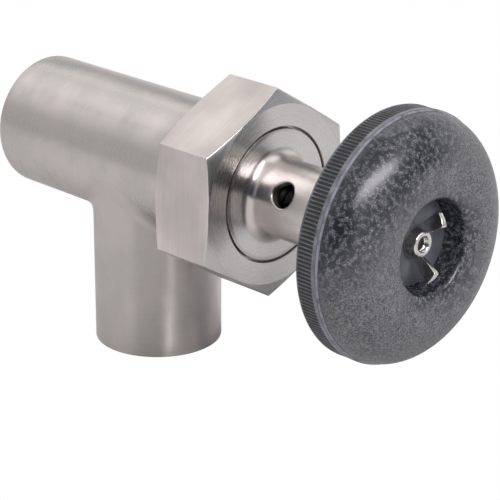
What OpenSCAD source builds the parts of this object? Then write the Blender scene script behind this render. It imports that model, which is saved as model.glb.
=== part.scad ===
// Kettle faucet: a draw-off valve with a welded tee body, a hex union nut, a bonnet and a screw stem.
// The origin is the centre of the inlet tube's end face. The tube runs along -Y to the knob, +Z is up.
// Lengths along the run are counted from the inlet end, and "turned" pieces are profiles of radius and run.

/* [Tee body] */
// Outside diameter of the inlet tube
inlet_od = 38.1; // [34:0.1:42]
// How much smaller the outlet tube is than the inlet tube
outlet_step = 1.6; // [0.8:0.1:8]
// Wall of both tubes
tube_wall = 1.65; // [1.2:0.05:2.5]
// Distance from the inlet end to the outlet's axis
outlet_run = 46.8; // [42:0.1:50]
// Length of the outlet tube below the inlet tube
outlet_length = 35.55; // [20:0.05:70]
// Leg of the weld that blends the outlet into the run
weld_leg = 3.4; // [2:0.1:4.5]

/* [Union nut] */
// Distance from the inlet end to the back of the nut
nut_run = 73.7; // [72:0.1:90]
// Length of the nut
nut_length = 20.3; // [18:0.1:26]
// Wall of the nut outside its thread, at the middle of each flat
nut_wall = 3.175; // [2.5:0.005:8]
// Turn of the nut about the run
nut_turn = -2.3; // [-30:0.1:30]
// Depth of the chamfer at the nut's corners
nut_chamfer = 1.26; // [0.6:0.02:2]
// Flat left beside the round face, at the middle of each side
nut_face_inset = 0.5; // [0.2:0.1:1]
// Thickness of the lip that holds the bonnet
nut_lip = 3; // [2:0.1:4]
// Distance that the lip reaches in from the thread
lip_reach = 3.575; // [3:0.005:6]
// Wall of the ferrule from the tube to the crest of its thread
ferrule_wall = 3.175; // [2.5:0.005:4.5]
// Distance from the back of the nut to the back of the ferrule
ferrule_inset = 1.8; // [0.5:0.1:4]
// Thickness of the ferrule's shoulder in front of the tube
ferrule_shoulder = 2; // [1:0.1:3]

/* [Bonnet] */
// Gap between the boss and the nut's lip
seam_gap = 0.3; // [0.1:0.05:0.6]
// Thickness of the flange that the nut clamps
flange_thick = 3.4; // [2:0.1:4.5]
// Clearance of the flange inside the nut's thread
flange_gap = 0.8; // [0.2:0.1:1.5]
// Thickness of the bonnet gasket
gasket_thick = 1.5; // [0.8:0.1:2]
// Length of the pilot that centres the bonnet in the tube
pilot_length = 8; // [6:0.1:10]
// Clearance between the pilot and the tube
pilot_gap = 0.2; // [0.05:0.05:0.5]
// Diameter of the neck
neck_d = 21.4; // [20.4:0.1:26]
// Length of the neck in front of the nut
neck_length = 28; // [27:0.1:30]
// Radius of the fillet between boss and neck
neck_fillet = 3; // [1:0.1:4]
// Chamfer at the neck's end
neck_chamfer = 0.8; // [0.2:0.1:1.5]
// Diameter of the weep hole across the neck
weep_d = 7; // [4:0.1:7.5]
// Width of the bevel around the weep hole
weep_bevel = 0.5; // [0.1:0.1:0.8]
// Distance from the nut's face to the weep hole
weep_run = 11.1; // [10.8:0.1:12]
// Angle of the weep hole, from +X towards +Z
weep_turn = 150.6; // [90:0.1:180]

/* [Stem] */
// Diameter of the stem's land, which carries the O-rings
land_d = 15.9; // [14:0.1:16.4]
// Length of the land
land_length = 8.2; // [7.6:0.1:8.4]
// Major diameter of the stem's thread
stem_thread = 11; // [9:0.1:12]
// Diameter of the plain shank
shank_d = 9.8; // [8.2:0.1:10.8]
// Section of each O-ring
oring_section = 1.78; // [1.5:0.02:2]
// Distance between the two O-rings
oring_pitch = 4; // [3.4:0.1:4.1]
// Radial clearance of everything that turns or slides
running_gap = 0.05; // [0.02:0.01:0.1]
// Travel of the stem from closed to open
travel = 12.7; // [8:0.1:12.8]
// Clearance between the neck and the knob's insert when closed
knob_gap = 5; // [2:0.1:7]
// Width of the square that drives the knob, across its flats
drive_flats = 7; // [6:0.1:7.4]
// Diameter of the stud for the wing nut
stud_d = 4; // [3:0.1:4.6]
// Distance that the stud stops short of the wing nut's face
stud_recess = 1.5; // [0.5:0.1:2.5]

/* [Valve disc] */
// Length of the seat ring
seat_length = 5.5; // [3:0.1:8]
// Width of the seat ring, in from the machined bore
seat_width = 4.15; // [3:0.05:6]
// Depth that the tube is machined out in front of the seat ring's shoulder
seat_shoulder = 0.25; // [0.1:0.05:0.5]
// Distance from the seat's face to the outlet's opening
seat_margin = 2.2; // [1:0.1:3]
// Gap left between seal and seat when closed
seal_gap = 0.1; // [0.05:0.05:0.2]
// Clearance of the disc holder in the tube
holder_gap = 1.45; // [0.6:0.05:2]
// Thickness of the seat seal
seal_thick = 3.9; // [2:0.1:5]
// Rim of the disc holder around the seal
holder_rim = 0.9; // [0.5:0.1:1.1]
// Depth of the rim over the seal
holder_rim_depth = 2; // [1:0.1:2.4]
// Thickness of the holder behind the seal
holder_thick = 6.5; // [5.6:0.1:8]
// Wall of the holder around the stem's button
holder_wall = 2.2; // [1.8:0.1:3]
// Diameter of the stem's button
button_d = 14; // [12.6:0.1:15]
// Thickness of the stem's button
button_thick = 3.5; // [2.5:0.1:5]
// Thickness of the thrust washer under the button
thrust_thick = 0.9; // [0.5:0.1:1.2]
// Thickness of the clip that keeps the button in the holder
clip_thick = 1.2; // [0.8:0.1:1.6]
// Depth of the clip's groove in the holder
clip_groove = 0.9; // [0.5:0.1:1.2]
// Opening of the clip, in degrees
clip_opening = 40; // [20:5:70]
// Diameter of the retainer that clamps the seal
retainer_d = 20; // [16:0.1:22]
// Thickness of the retainer
retainer_thick = 2; // [1.2:0.1:3]
// Diameter of the retainer screw's shank
screw_d = 5; // [4:0.1:6]
// Diameter of the retainer screw's head
screw_head_d = 8.6; // [7.4:0.1:10]
// Height of the retainer screw's head
screw_head = 3.1; // [2:0.1:4]
// Distance that the screw reaches into the holder
screw_reach = 4.6; // [3:0.1:5]

/* [Knob] */
// Diameter of the knob
knob_d = 66.7; // [60:0.1:80]
// Length of the knob's rim
rim_length = 6.3; // [4:0.05:8]
// Number of ribs around the rim
rib_count = 198; // [90:6:240]
// Depth of the ribs
rib_depth = 0.42; // [0.2:0.02:0.6]
// Smooth edge behind the ribs
rim_back_edge = 0.5; // [0.3:0.1:1]
// Smooth edge in front of the ribs
rim_front_edge = 1.1; // [0.3:0.1:1.5]
// Chamfer at the parting line
parting_chamfer = 0.65; // [0.3:0.05:1]
// Straight band between the chamfer and the dome
band_length = 0.6; // [0.5:0.1:2]
// Height of the dome above the band
dome_height = 9.1; // [7:0.1:12]
// Width of the dome's slope, from its crest to the band
dome_slope = 12; // [9:0.1:15]
// Leanness of the dome's shoulder: 1 is a true ellipse
dome_lean = 1.2; // [1:0.01:1.3]
// Diameter of the recess where its mouth's rounding begins
recess_mouth = 24.8; // [24.5:0.1:30]
// Rounding of the recess's mouth
mouth_round = 1.6; // [0.8:0.1:2.5]
// Diameter of the recess at its floor
recess_floor_d = 24.4; // [22:0.1:24.7]
// Fall of the dome from its crest to the recess
mouth_fall = 0.4; // [0.2:0.1:1]
// Depth of the recess below the crest
recess_depth = 8.05; // [7:0.05:10]
// Wall of the knob's shell
knob_wall = 4; // [2.5:0.1:5]
// Wall around the recess
cup_wall = 3; // [2:0.1:4]
// Diameter of the knob's hub
hub_d = 22; // [17:0.1:26]
// Number of webs inside the knob
web_count = 6; // [3:1:12]
// Thickness of each web
web_thick = 2.4; // [1.5:0.1:4]
// Distance from the back of the rim to the webs
web_inset = 2.5; // [1:0.1:5]
// Distance that the hub stands behind the rim
hub_proud = 5.8; // [3:0.1:8]
// Diameter of the metal insert in the hub
insert_d = 14; // [12.4:0.1:16]
// Length of the insert
insert_length = 11; // [8:0.1:12]
// Groove that keys the insert into the hub
insert_groove = 0.8; // [0.4:0.1:1]

/* [Wing nut] */
// Thickness of the washer on the recess floor
washer_thick = 0.8; // [0.5:0.1:1.6]
// Clearance between the washer and the recess wall
washer_gap = 0.3; // [0.1:0.1:1]
// Height of the wing nut's boss
wing_boss = 3.1; // [2.4:0.1:4.5]
// Diameter of the boss at its base
wing_base_d = 8.8; // [7:0.1:10]
// Diameter of the boss at its face
wing_face_d = 6.6; // [5.8:0.1:7]
// Span over both wings
wing_span = 18.6; // [15:0.1:22]
// Distance between the middles of the wings' front corners
wing_inner = 12.4; // [9:0.1:13]
// Height of the wings above the boss
wing_rise = 5.5; // [4:0.1:6.5]
// Thickness of the wings
wing_thick = 1.5; // [1:0.1:2.2]
// Angle of the wings, from +X towards +Z
wing_turn = 79; // [0:1:180]

/* [Hidden] */
$fn = 96;

// Tee body
inlet_r = inlet_od / 2;
inlet_bore_r = inlet_r - tube_wall;
machined_r = inlet_bore_r + seat_shoulder;
outlet_r = inlet_r - outlet_step / 2;
outlet_bore_r = outlet_r - tube_wall;
outlet_drop = inlet_r + outlet_length;
weld_root = 0.975; // the weld's root lies inside the walls, at this share of the saddle
weld_hollow = 0.06; // the weld's face bows out by this share of its leg

// Union, counted back from the nut's face
nut_face = nut_run + nut_length;
lip_back = nut_face - nut_lip;
flange_back = lip_back - flange_thick;
ferrule_face = flange_back - gasket_thick;
tube_end = ferrule_face - ferrule_shoulder;
ferrule_back = nut_run + ferrule_inset;
union_r = inlet_r + ferrule_wall;
flange_r = union_r - flange_gap;
lip_r = union_r - lip_reach;
boss_r = lip_r - seam_gap;
nut_flat_r = union_r + nut_wall;
nut_corner_r = nut_flat_r / cos(30);
nut_face_r = nut_flat_r - nut_face_inset;

// Bonnet bores, from the pilot to the end of the neck
neck_r = neck_d / 2;
neck_end = nut_face + neck_length;
pilot_back = flange_back - pilot_length;
pilot_r = machined_r - pilot_gap;
land_r = land_d / 2;
gland_r = land_r + running_gap;
gland_front = pilot_back + land_length + travel;
chamber_relief = 0.3;
chamber_r = gland_r + chamber_relief;
weep_centre = nut_face + weep_run;
chamber_past_weep = 2;
chamber_front = weep_centre + weep_d / 2 + chamber_past_weep;
thread_r = stem_thread / 2;
thread_bore_r = thread_r + running_gap;
thread_lead_in = 0.8;

// Stem, from the button to the stud
oring_r = oring_section / 2;
oring_centre_r = land_r - oring_r + running_gap / 2;
groove_r = oring_centre_r - oring_r;
groove_width = oring_section * 1.3;
groove_shoulder = 0.8;
front_oring_run = pilot_back + land_length - groove_width / 2 - groove_shoulder;
rear_oring_run = front_oring_run - oring_pitch;
thread_back = chamber_front - travel;
knob_seat = neck_end + knob_gap;

// Valve disc, counted from the seat
seat_face = outlet_run - outlet_bore_r - seat_margin;
seat_back = seat_face - seat_length;
seal_back = seat_face + seal_gap;
holder_seat = seal_back + seal_thick;
holder_r = machined_r - holder_gap;
seal_r = holder_r - holder_rim;
socket_floor = holder_seat + holder_thick;
button_back = socket_floor + thrust_thick + running_gap;
button_front = button_back + button_thick;
button_r = button_d / 2;
socket_r = button_r + running_gap;
clip_back = button_front + 2 * running_gap;
clip_front = clip_back + clip_thick;
clip_outer_r = socket_r + clip_groove;
clip_inner_r = shank_d / 2 + 4 * running_gap;
holder_lip = 2;
holder_front = clip_front + holder_lip;
holder_neck_r = clip_outer_r + holder_wall - clip_groove;
retainer_back = seal_back - retainer_thick;
screw_r = screw_d / 2;

// Knob, counted from the back of the rim
knob_r = knob_d / 2;
rim_bevel = 0.4;
hub_bevel = 0.6;
wing_foot = 0.5;
wing_bevel = 0.3;
rib_step = 0.06; // the ribs' tips lie this much inside the smooth edges
rib_tip_r = knob_r - rib_step;
rib_root_r = rib_tip_r - rib_depth;
rib_bed = 0.5;
rib_bed_r = rib_root_r - rib_bed;
rim_back = knob_seat + hub_proud;
rim_front = rim_back + rim_length;
band_r = knob_r - parting_chamfer;
band_back = rim_front + parting_chamfer;
dome_back = band_back + band_length;
crest_run = dome_back + dome_height;
crest_r = band_r - dome_slope;
mouth_r = recess_mouth / 2;
recess_floor_r = recess_floor_d / 2;
recess_floor = crest_run - recess_depth;
hub_r = hub_d / 2;
insert_r = insert_d / 2;
insert_front = knob_seat + insert_length;
key_width = insert_length / 4;
key_back = knob_seat + (insert_length - key_width) / 2;
key_front = key_back + key_width;
drive_short = 0.5;
drive_front = insert_front - drive_short;
stud_r = stud_d / 2;
stud_hole_r = stud_r + running_gap;
washer_front = recess_floor + washer_thick;
wing_face = washer_front + wing_boss;
stud_end = wing_face - stud_recess;

// Lays what is drawn along +Z along the run, so that its height becomes the run
module along_run() {
    rotate([90, 0, 0]) children();
}

// A turned piece, from its profile of [radius, run] points
module turned(profile) {
    along_run() rotate_extrude() polygon(profile);
}

// Points of a quarter ellipse round [r, run], from one angle to another
function arc_points(centre, width, height, from, to, steps = 10) =
    [for (i = [0:steps])
        let (a = from + (to - from) * i / steps)
        [centre[0] + width * cos(a), centre[1] + height * sin(a)]];

// Cylinder across the run, at a place on it and an angle about it
module cross_drill(run, angle, radius, length) {
    translate([0, -run, 0]) rotate([0, 90 - angle, 0]) cylinder(r = radius, h = length, center = true);
}

// Run tube, machined out to a shoulder for the seat ring, with a round opening down into the outlet
module inlet_tube() {
    color("silver")
    difference() {
        turned([[inlet_bore_r, 0], [inlet_r, 0], [inlet_r, tube_end], [machined_r, tube_end],
                [machined_r, seat_back], [inlet_bore_r, seat_back]]);
        translate([0, -outlet_run, -inlet_od]) cylinder(r = outlet_bore_r, h = inlet_od);
    }
}

// Outlet tube, its top cut to a saddle that sits on the run tube
module outlet_tube() {
    color("silver")
    difference() {
        translate([0, -outlet_run, -outlet_drop]) cylinder(r = outlet_r, h = outlet_drop);
        translate([0, -outlet_run, -outlet_drop - 1]) cylinder(r = outlet_bore_r, h = outlet_drop + 2);
        along_run() cylinder(r = inlet_r, h = tube_end);
    }
}

// Point of the saddle curve at angle a round the outlet, with the run's centre line at the origin
function saddle(a) =
    let (x = outlet_r * cos(a))
    [x, outlet_r * sin(a), -sqrt(inlet_r * inlet_r - x * x)];

// Point moved along the run's surface, away from the outlet and square to the saddle curve
function run_foot(a, leg) =
    let (s = saddle(a),
         step = saddle(a + 0.5) - saddle(a - 0.5),
         out = [s[0], 0, s[2]] / inlet_r,
         across = cross(step, out),
         side = across * [s[0], s[1], 0] < 0 ? -1 : 1,
         p = s + across * (side * leg / norm(across)),
         spread = inlet_r / norm([p[0], 0, p[2]]))
    [p[0] * spread, p[1], p[2] * spread];

// Hollow fillet section of the weld: its root inside the walls, then its curved face from foot to foot
function weld_section(a, steps) =
    let (s = saddle(a),
         root = s * weld_root,
         up = run_foot(a, weld_leg),
         down = s + [0, 0, -weld_leg],
         pull = s + [cos(a), sin(a), -1] * weld_leg * weld_hollow)
    concat([root], [for (i = [0:steps])
        let (q = i / steps) up * (1 - q) * (1 - q) + pull * 2 * q * (1 - q) + down * q * q]);

// Weld bead round the outlet, dressed to a hollow fillet
module tee_weld() {
    rings = 72;
    steps = 6;
    size = steps + 2;
    sections = [for (k = [0:rings - 1]) weld_section(k * 360 / rings, steps)];
    points = [for (s = sections) for (p = s) [p[0], p[1] - outlet_run, p[2]]];
    faces = [for (k = [0:rings - 1]) for (i = [0:size - 1])
        let (n = (k + 1) % rings, j = (i + 1) % size)
        [[k * size + i, k * size + j, n * size + j], [k * size + i, n * size + j, n * size + i]]];
    color("lightgray")
    polyhedron(points, [for (pair = faces) for (f = pair) f], convexity = 6);
}

// Male ferrule welded to the end of the run tube, which the union nut screws on
module threaded_ferrule() {
    cone = 1;
    color("silver")
    turned([[inlet_r, ferrule_back], [union_r - cone, ferrule_back], [union_r, ferrule_back + cone],
            [union_r, ferrule_face - cone], [union_r - cone, ferrule_face],
            [machined_r, ferrule_face], [machined_r, tube_end], [inlet_r, tube_end]]);
}

// Seat ring in the run tube, with a cone that the seal closes against
module valve_seat() {
    bore = machined_r - seat_width;
    cone = 0.6;
    color("gainsboro")
    turned([[bore, seat_back], [machined_r, seat_back],
            [machined_r, seat_face - cone], [machined_r - cone, seat_face],
            [bore + cone, seat_face], [bore, seat_face - cone]]);
}

// Flat gasket between the ferrule's face and the bonnet's flange
module bonnet_gasket() {
    color("white")
    turned([[machined_r, ferrule_face], [flange_r, ferrule_face],
            [flange_r, flange_back], [machined_r, flange_back]]);
}

// Bonnet: pilot, clamped flange, boss flush with the nut, fillet and neck, bored for the stem
module bonnet() {
    fillet = arc_points([neck_r + neck_fillet, nut_face + neck_fillet], neck_fillet, neck_fillet, 270, 180);
    color("silver")
    difference() {
        turned(concat(
            [[gland_r, pilot_back], [pilot_r, pilot_back], [pilot_r, flange_back], [flange_r, flange_back],
             [flange_r, lip_back], [boss_r, lip_back], [boss_r, nut_face]],
            fillet,
            [[neck_r, neck_end - neck_chamfer], [neck_r - neck_chamfer, neck_end],
             [thread_bore_r + thread_lead_in, neck_end], [thread_bore_r, neck_end - thread_lead_in],
             [thread_bore_r, chamber_front], [chamber_r, chamber_front],
             [chamber_r, gland_front], [gland_r, gland_front]]));
        cross_drill(weep_centre, weep_turn, weep_d / 2, neck_d * 2);
        for (end = [0, 180]) weep_bevel_cone(weep_turn + end);
    }
}

// Cone that bevels one mouth of the weep hole
module weep_bevel_cone(angle) {
    r = weep_d / 2;
    dip = neck_r - sqrt(neck_r * neck_r - r * r);
    translate([0, -weep_centre, 0]) rotate([0, 90 - angle, 0])
    translate([0, 0, neck_r - dip - weep_bevel])
    cylinder(r1 = r - dip / 2, r2 = r + weep_bevel * 2 + dip / 2, h = dip + weep_bevel * 2);
}

// Hex union nut with chamfered corners, a threaded bore and a lip over the bonnet's flange
module union_nut() {
    slope = nut_chamfer / (nut_corner_r - nut_face_r);
    reach = 2;
    drop = slope * (nut_corner_r + reach - nut_face_r);
    color("silver")
    difference() {
        intersection() {
            along_run() translate([0, 0, nut_run]) rotate([0, 0, nut_turn + 30])
                cylinder(r = nut_corner_r, h = nut_length, $fn = 6);
            turned([[0, nut_run], [nut_face_r, nut_run], [nut_corner_r + reach, nut_run + drop],
                    [nut_corner_r + reach, nut_face - drop], [nut_face_r, nut_face], [0, nut_face]]);
        }
        turned([[0, nut_run - 1], [union_r + 1.5, nut_run - 1], [union_r, nut_run + 0.5],
                [union_r, lip_back], [0, lip_back]]);
        along_run() translate([0, 0, lip_back - 1]) cylinder(r = lip_r, h = nut_lip + 2);
    }
}

// Disc holder: a cup for the seal on one side, and a socket for the stem's button on the other
module disc_holder() {
    rim_back = holder_seat - holder_rim_depth;
    plate = 4;
    color("silver")
    turned([[screw_r, holder_seat], [seal_r, holder_seat], [seal_r, rim_back],
            [holder_r, rim_back], [holder_r, holder_seat + plate - 1], [holder_r - 1, holder_seat + plate],
            [holder_neck_r, holder_seat + plate], [holder_neck_r, holder_front],
            [socket_r, holder_front], [socket_r, clip_front], [clip_outer_r, clip_front],
            [clip_outer_r, clip_back], [socket_r, clip_back], [socket_r, socket_floor],
            [screw_r, socket_floor]]);
}

// Rubber ring that closes against the seat
module seat_seal() {
    soft = 0.6;
    color("dimgray")
    turned([[screw_r, seal_back], [seal_r - soft, seal_back], [seal_r, seal_back + soft],
            [seal_r, holder_seat], [screw_r, holder_seat]]);
}

// Dished washer that clamps the seal
module seal_retainer() {
    r = retainer_d / 2;
    color("gainsboro")
    turned([[screw_r, retainer_back], [r - retainer_thick / 2, retainer_back],
            [r, retainer_back + retainer_thick / 2], [r, seal_back], [screw_r, seal_back]]);
}

// Slotted cheese-head screw through the retainer into the holder
module retainer_screw() {
    head_r = screw_head_d / 2;
    head_back = retainer_back - screw_head;
    slot_width = 1.2;
    slot_depth = screw_head * 0.45;
    color("lightgray")
    difference() {
        turned([[0, head_back], [head_r - 0.5, head_back], [head_r, head_back + 0.5],
                [head_r, retainer_back], [screw_r, retainer_back],
                [screw_r, holder_seat + screw_reach], [0, holder_seat + screw_reach]]);
        translate([-head_r - 1, -head_back - slot_depth, -slot_width / 2])
            cube([screw_head_d + 2, slot_depth + 1, slot_width]);
    }
}

// Thrust washer that the stem's button pushes on
module thrust_washer() {
    color("burlywood")
    turned([[0, socket_floor], [button_r - 0.5, socket_floor],
            [button_r - 0.5, socket_floor + thrust_thick], [0, socket_floor + thrust_thick]]);
}

// Open spring clip in the holder's groove, in front of the stem's button
module stem_clip() {
    color("slategray")
    difference() {
        turned([[clip_inner_r, clip_back], [clip_outer_r, clip_back],
                [clip_outer_r, clip_front], [clip_inner_r, clip_front]]);
        along_run() translate([0, 0, clip_back - 1]) linear_extrude(clip_thick + 2)
            polygon([[0, 0], [button_d * cos(clip_opening / 2), -button_d * sin(clip_opening / 2)],
                     [button_d * cos(clip_opening / 2), button_d * sin(clip_opening / 2)]]);
    }
}

// Stem: button, shank, land with two O-ring grooves, thread, driving square and stud
module stem() {
    shank_r = shank_d / 2;
    half = groove_width / 2;
    land_end = pilot_back + land_length;
    ease = 0.5;
    overlap = 1;
    color("lightgray")
    union() {
        turned([[0, button_back], [button_r - ease, button_back], [button_r, button_back + ease],
                [button_r, button_front], [shank_r, button_front],
                [shank_r, pilot_back], [land_r - ease, pilot_back], [land_r, pilot_back + ease],
                [land_r, rear_oring_run - half], [groove_r, rear_oring_run - half],
                [groove_r, rear_oring_run + half], [land_r, rear_oring_run + half],
                [land_r, front_oring_run - half], [groove_r, front_oring_run - half],
                [groove_r, front_oring_run + half], [land_r, front_oring_run + half],
                [land_r, land_end], [shank_r, land_end], [shank_r, thread_back],
                [thread_r, thread_back + thread_r - shank_r], [thread_r, knob_seat], [0, knob_seat]]);
        translate([-drive_flats / 2, -drive_front, -drive_flats / 2])
            cube([drive_flats, drive_front - knob_seat + overlap, drive_flats]);
        turned([[0, drive_front - overlap], [stud_r, drive_front - overlap], [stud_r, stud_end - ease],
                [stud_r - ease, stud_end], [0, stud_end]]);
    }
}

// O-ring at a place on the stem's land
module oring(run) {
    color("black")
    along_run() translate([0, 0, run]) rotate_extrude() translate([oring_centre_r, 0]) circle(r = oring_r);
}

module rear_oring() {
    oring(rear_oring_run);
}

module front_oring() {
    oring(front_oring_run);
}

// Metal insert moulded into the knob's hub, with a square hole and a groove that keys it
module knob_insert() {
    hole = drive_flats + 2 * running_gap;
    color("silver")
    difference() {
        turned([[0, knob_seat], [insert_r, knob_seat], [insert_r, key_back],
                [insert_r - insert_groove, key_back], [insert_r - insert_groove, key_front],
                [insert_r, key_front], [insert_r, insert_front], [0, insert_front]]);
        translate([-hole / 2, -insert_front - 1, -hole / 2]) cube([hole, insert_length + 2, hole]);
    }
}

// Points up the dome's outside, from the band to its crest
function dome_points(steps) =
    [for (i = [0:steps]) let (a = 90 * i / steps)
        [crest_r + dome_slope * pow(cos(a), dome_lean), dome_back + dome_height * pow(sin(a), dome_lean)]];

// Outer profile of the knob, from the back of the rim to the middle of the recess
function knob_outline() = concat(
    [[knob_r - rim_bevel, rim_back], [knob_r, rim_back + rim_bevel], [knob_r, rim_back + rim_back_edge],
     [rib_bed_r, rim_back + rim_back_edge], [rib_bed_r, rim_front - rim_front_edge],
     [knob_r, rim_front - rim_front_edge], [knob_r, rim_front], [band_r, band_back]],
    dome_points(16),
    arc_points([mouth_r + mouth_round, crest_run - mouth_fall - mouth_round],
               mouth_round, mouth_round, 90, 180, 8),
    [[recess_floor_r, recess_floor]]);

// Solid of revolution that fills the knob's walls and hollow, to trim its webs
module knob_filler() {
    half = knob_wall / 2;
    turned(concat(
        [[0, rim_back], [band_r - half, rim_back]],
        arc_points([crest_r, dome_back], band_r - half - crest_r, dome_height - half, 0, 90, 12),
        [[mouth_r + half, crest_run - half], [mouth_r + half, recess_floor - half],
         [0, recess_floor - half]]));
}

// Moulded knob: ribbed rim, domed shell with a recess, hollow back with hub and webs
module knob() {
    inner_r = band_r - knob_wall;
    cup_r = mouth_r + cup_wall;
    cup_back = recess_floor - cup_wall;
    color("#303134")
    union() {
        turned(concat(
            [[stud_hole_r, recess_floor], [stud_hole_r, insert_front], [insert_r, insert_front],
             [insert_r, key_front], [insert_r - insert_groove, key_front],
             [insert_r - insert_groove, key_back], [insert_r, key_back], [insert_r, knob_seat],
             [hub_r - hub_bevel, knob_seat], [hub_r, knob_seat + hub_bevel], [hub_r, cup_back],
             [cup_r, cup_back], [cup_r, crest_run - knob_wall]],
            arc_points([crest_r, dome_back], inner_r - crest_r, dome_height - knob_wall, 90, 0, 12),
            [[inner_r, rim_back]],
            knob_outline()));
        along_run() translate([0, 0, rim_back + rim_back_edge])
            linear_extrude(rim_length - rim_back_edge - rim_front_edge) rib_ring(inner_r + knob_wall / 2);
        intersection() {
            knob_filler();
            for (i = [0:web_count - 1]) knob_web(360 * i / web_count);
        }
    }
}

// Ring with the ribs' outline, around the rim
module rib_ring(inner_r) {
    difference() {
        polygon([for (i = [0:2 * rib_count - 1])
            let (a = 180 * i / rib_count, r = i % 2 == 0 ? rib_tip_r : rib_root_r)
            [r * cos(a), r * sin(a)]]);
        circle(r = inner_r);
    }
}

// One web between the hub and the rim
module knob_web(angle) {
    start = hub_r - 1;
    along_run() rotate([0, 0, angle]) translate([start, -web_thick / 2, rim_back + web_inset])
        cube([knob_r - start, web_thick, crest_run - rim_back]);
}

// Dark washer on the floor of the recess
module knob_washer() {
    color("#26272a")
    turned([[stud_hole_r, recess_floor], [recess_floor_r - washer_gap, recess_floor],
            [recess_floor_r - washer_gap, washer_front], [stud_hole_r, washer_front]]);
}

// Profile of one wing, a broad blade that leans out from the boss to its rounded end
module wing_profile() {
    root = wing_face_d / 2 - 0.6;
    outer = 0.8; // rounding of the end's outer corner
    inner = 0.6; // rounding of its front corner
    polygon(concat(
        [[root, washer_front + 0.3], [wing_base_d / 2 - 0.2, washer_front + 0.3]],
        arc_points([wing_span / 2 - outer, wing_face + wing_rise * 0.58], outer, outer, -36, 59, 5),
        arc_points([wing_inner / 2, wing_face + wing_rise - inner], inner, inner, 59, 145, 5),
        [[wing_face_d / 2 + 0.6, wing_face + wing_rise * 0.42], [root, wing_face - 0.2]]));
}

// Wing nut on the stud, with its two wings forward and out
module wing_nut() {
    color("gainsboro")
    difference() {
        union() {
            turned([[0, washer_front], [wing_base_d / 2, washer_front],
                    [wing_base_d / 2, washer_front + wing_foot], [wing_face_d / 2, wing_face - wing_bevel],
                    [wing_face_d / 2 - wing_bevel, wing_face], [0, wing_face]]);
            for (side = [0, 180])
                along_run() rotate([0, 0, wing_turn + side]) rotate([90, 0, 0])
                    linear_extrude(wing_thick, center = true) wing_profile();
        }
        along_run() translate([0, 0, washer_front - 1])
            cylinder(r = stud_hole_r, h = wing_boss + wing_rise + 2);
    }
}

inlet_tube();
outlet_tube();
tee_weld();
threaded_ferrule();
valve_seat();
bonnet_gasket();
bonnet();
union_nut();
disc_holder();
seat_seal();
seal_retainer();
retainer_screw();
thrust_washer();
stem_clip();
stem();
rear_oring();
front_oring();
knob_insert();
knob();
knob_washer();
wing_nut();
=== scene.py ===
"""Dresses the kettle faucet: its rounded edges, welds, threads and ribs, its finishes, and the studio round it.

Sizes are millimetres. The run is the line from the kettle to the knob, along -Y, and places on it are
counted from the inlet's end. A turned piece is a profile of points spun round the run.
"""

from __future__ import annotations

import logging
import math
from dataclasses import dataclass
from enum import Enum
from typing import Callable, Iterable

import bmesh
import bpy
from mathutils import Matrix, Vector

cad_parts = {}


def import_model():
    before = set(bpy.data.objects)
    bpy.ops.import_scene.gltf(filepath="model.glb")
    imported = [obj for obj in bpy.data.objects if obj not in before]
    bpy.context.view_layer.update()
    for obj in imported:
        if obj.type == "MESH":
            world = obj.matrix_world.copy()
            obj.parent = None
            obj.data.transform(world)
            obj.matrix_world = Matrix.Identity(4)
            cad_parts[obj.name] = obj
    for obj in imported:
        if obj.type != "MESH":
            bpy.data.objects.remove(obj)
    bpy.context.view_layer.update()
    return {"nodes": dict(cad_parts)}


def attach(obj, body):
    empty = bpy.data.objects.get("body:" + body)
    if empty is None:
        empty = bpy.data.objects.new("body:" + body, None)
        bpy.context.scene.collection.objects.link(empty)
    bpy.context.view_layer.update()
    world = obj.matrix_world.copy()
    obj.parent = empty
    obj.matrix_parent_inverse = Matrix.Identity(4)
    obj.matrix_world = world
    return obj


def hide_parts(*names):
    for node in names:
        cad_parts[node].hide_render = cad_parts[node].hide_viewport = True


log = logging.getLogger("kettle_faucet")

MM = 0.001
FULL_TURN = math.tau
ORIGIN = (0, 0, 0)

BMesh = bmesh.types.BMesh
Piece = bpy.types.Object
Finish = bpy.types.Material
Socket = bpy.types.NodeSocket
# One corner of a profile: its radius, its place along the run and how far its edge is rounded.
Corner = tuple[float, float, float]


class Body(Enum):
    """The bodies of the frame that pieces ride on."""

    VALVE = "valve_body"
    DISC = "valve_disc"
    STEM = "stem_and_knob"


class Grain(Enum):
    """Which way the fine lines of a finish run."""

    ROUND_RUN = "belted round the run"
    ROUND_OUTLET = "belted round the outlet tube"
    JOINT = "belted round the run above the joint and round the outlet below it"
    TURNED = "turned on a lathe, in rings round the run"
    NONE = "no direction"


@dataclass(frozen=True)
class Run:
    """Radii and places along the run that more than one piece shares."""

    tube_r: float = 19.05
    bore_r: float = 17.4
    machined_r: float = 17.65
    seat_back: float = 22.5
    seat_face: float = 28.0
    outlet: float = 46.8
    nut_back: float = 73.7
    tube_end: float = 84.1
    ferrule_face: float = 86.1
    flange_back: float = 87.6
    lip_back: float = 91.0
    nut_face: float = 94.0
    union_r: float = 22.225
    lip_r: float = 18.85
    neck_r: float = 10.7
    neck_end: float = 122.0
    knob_seat: float = 127.0
    recess_floor: float = 141.4


RUN = Run()


# ---- nodes and colours


def linear(hex_code: str) -> tuple[float, float, float, float]:
    """Turn an sRGB hex colour to the linear one that shaders take.

    Args:
        hex_code: Six hex digits, with or without a leading #.

    Returns:
        Red, green, blue and alpha.
    """
    digits = hex_code.lstrip("#")
    shares = [int(digits[i : i + 2], 16) / 255 for i in (0, 2, 4)]
    return (*[s / 12.92 if s <= 0.04045 else ((s + 0.055) / 1.055) ** 2.4 for s in shares], 1.0)


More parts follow.
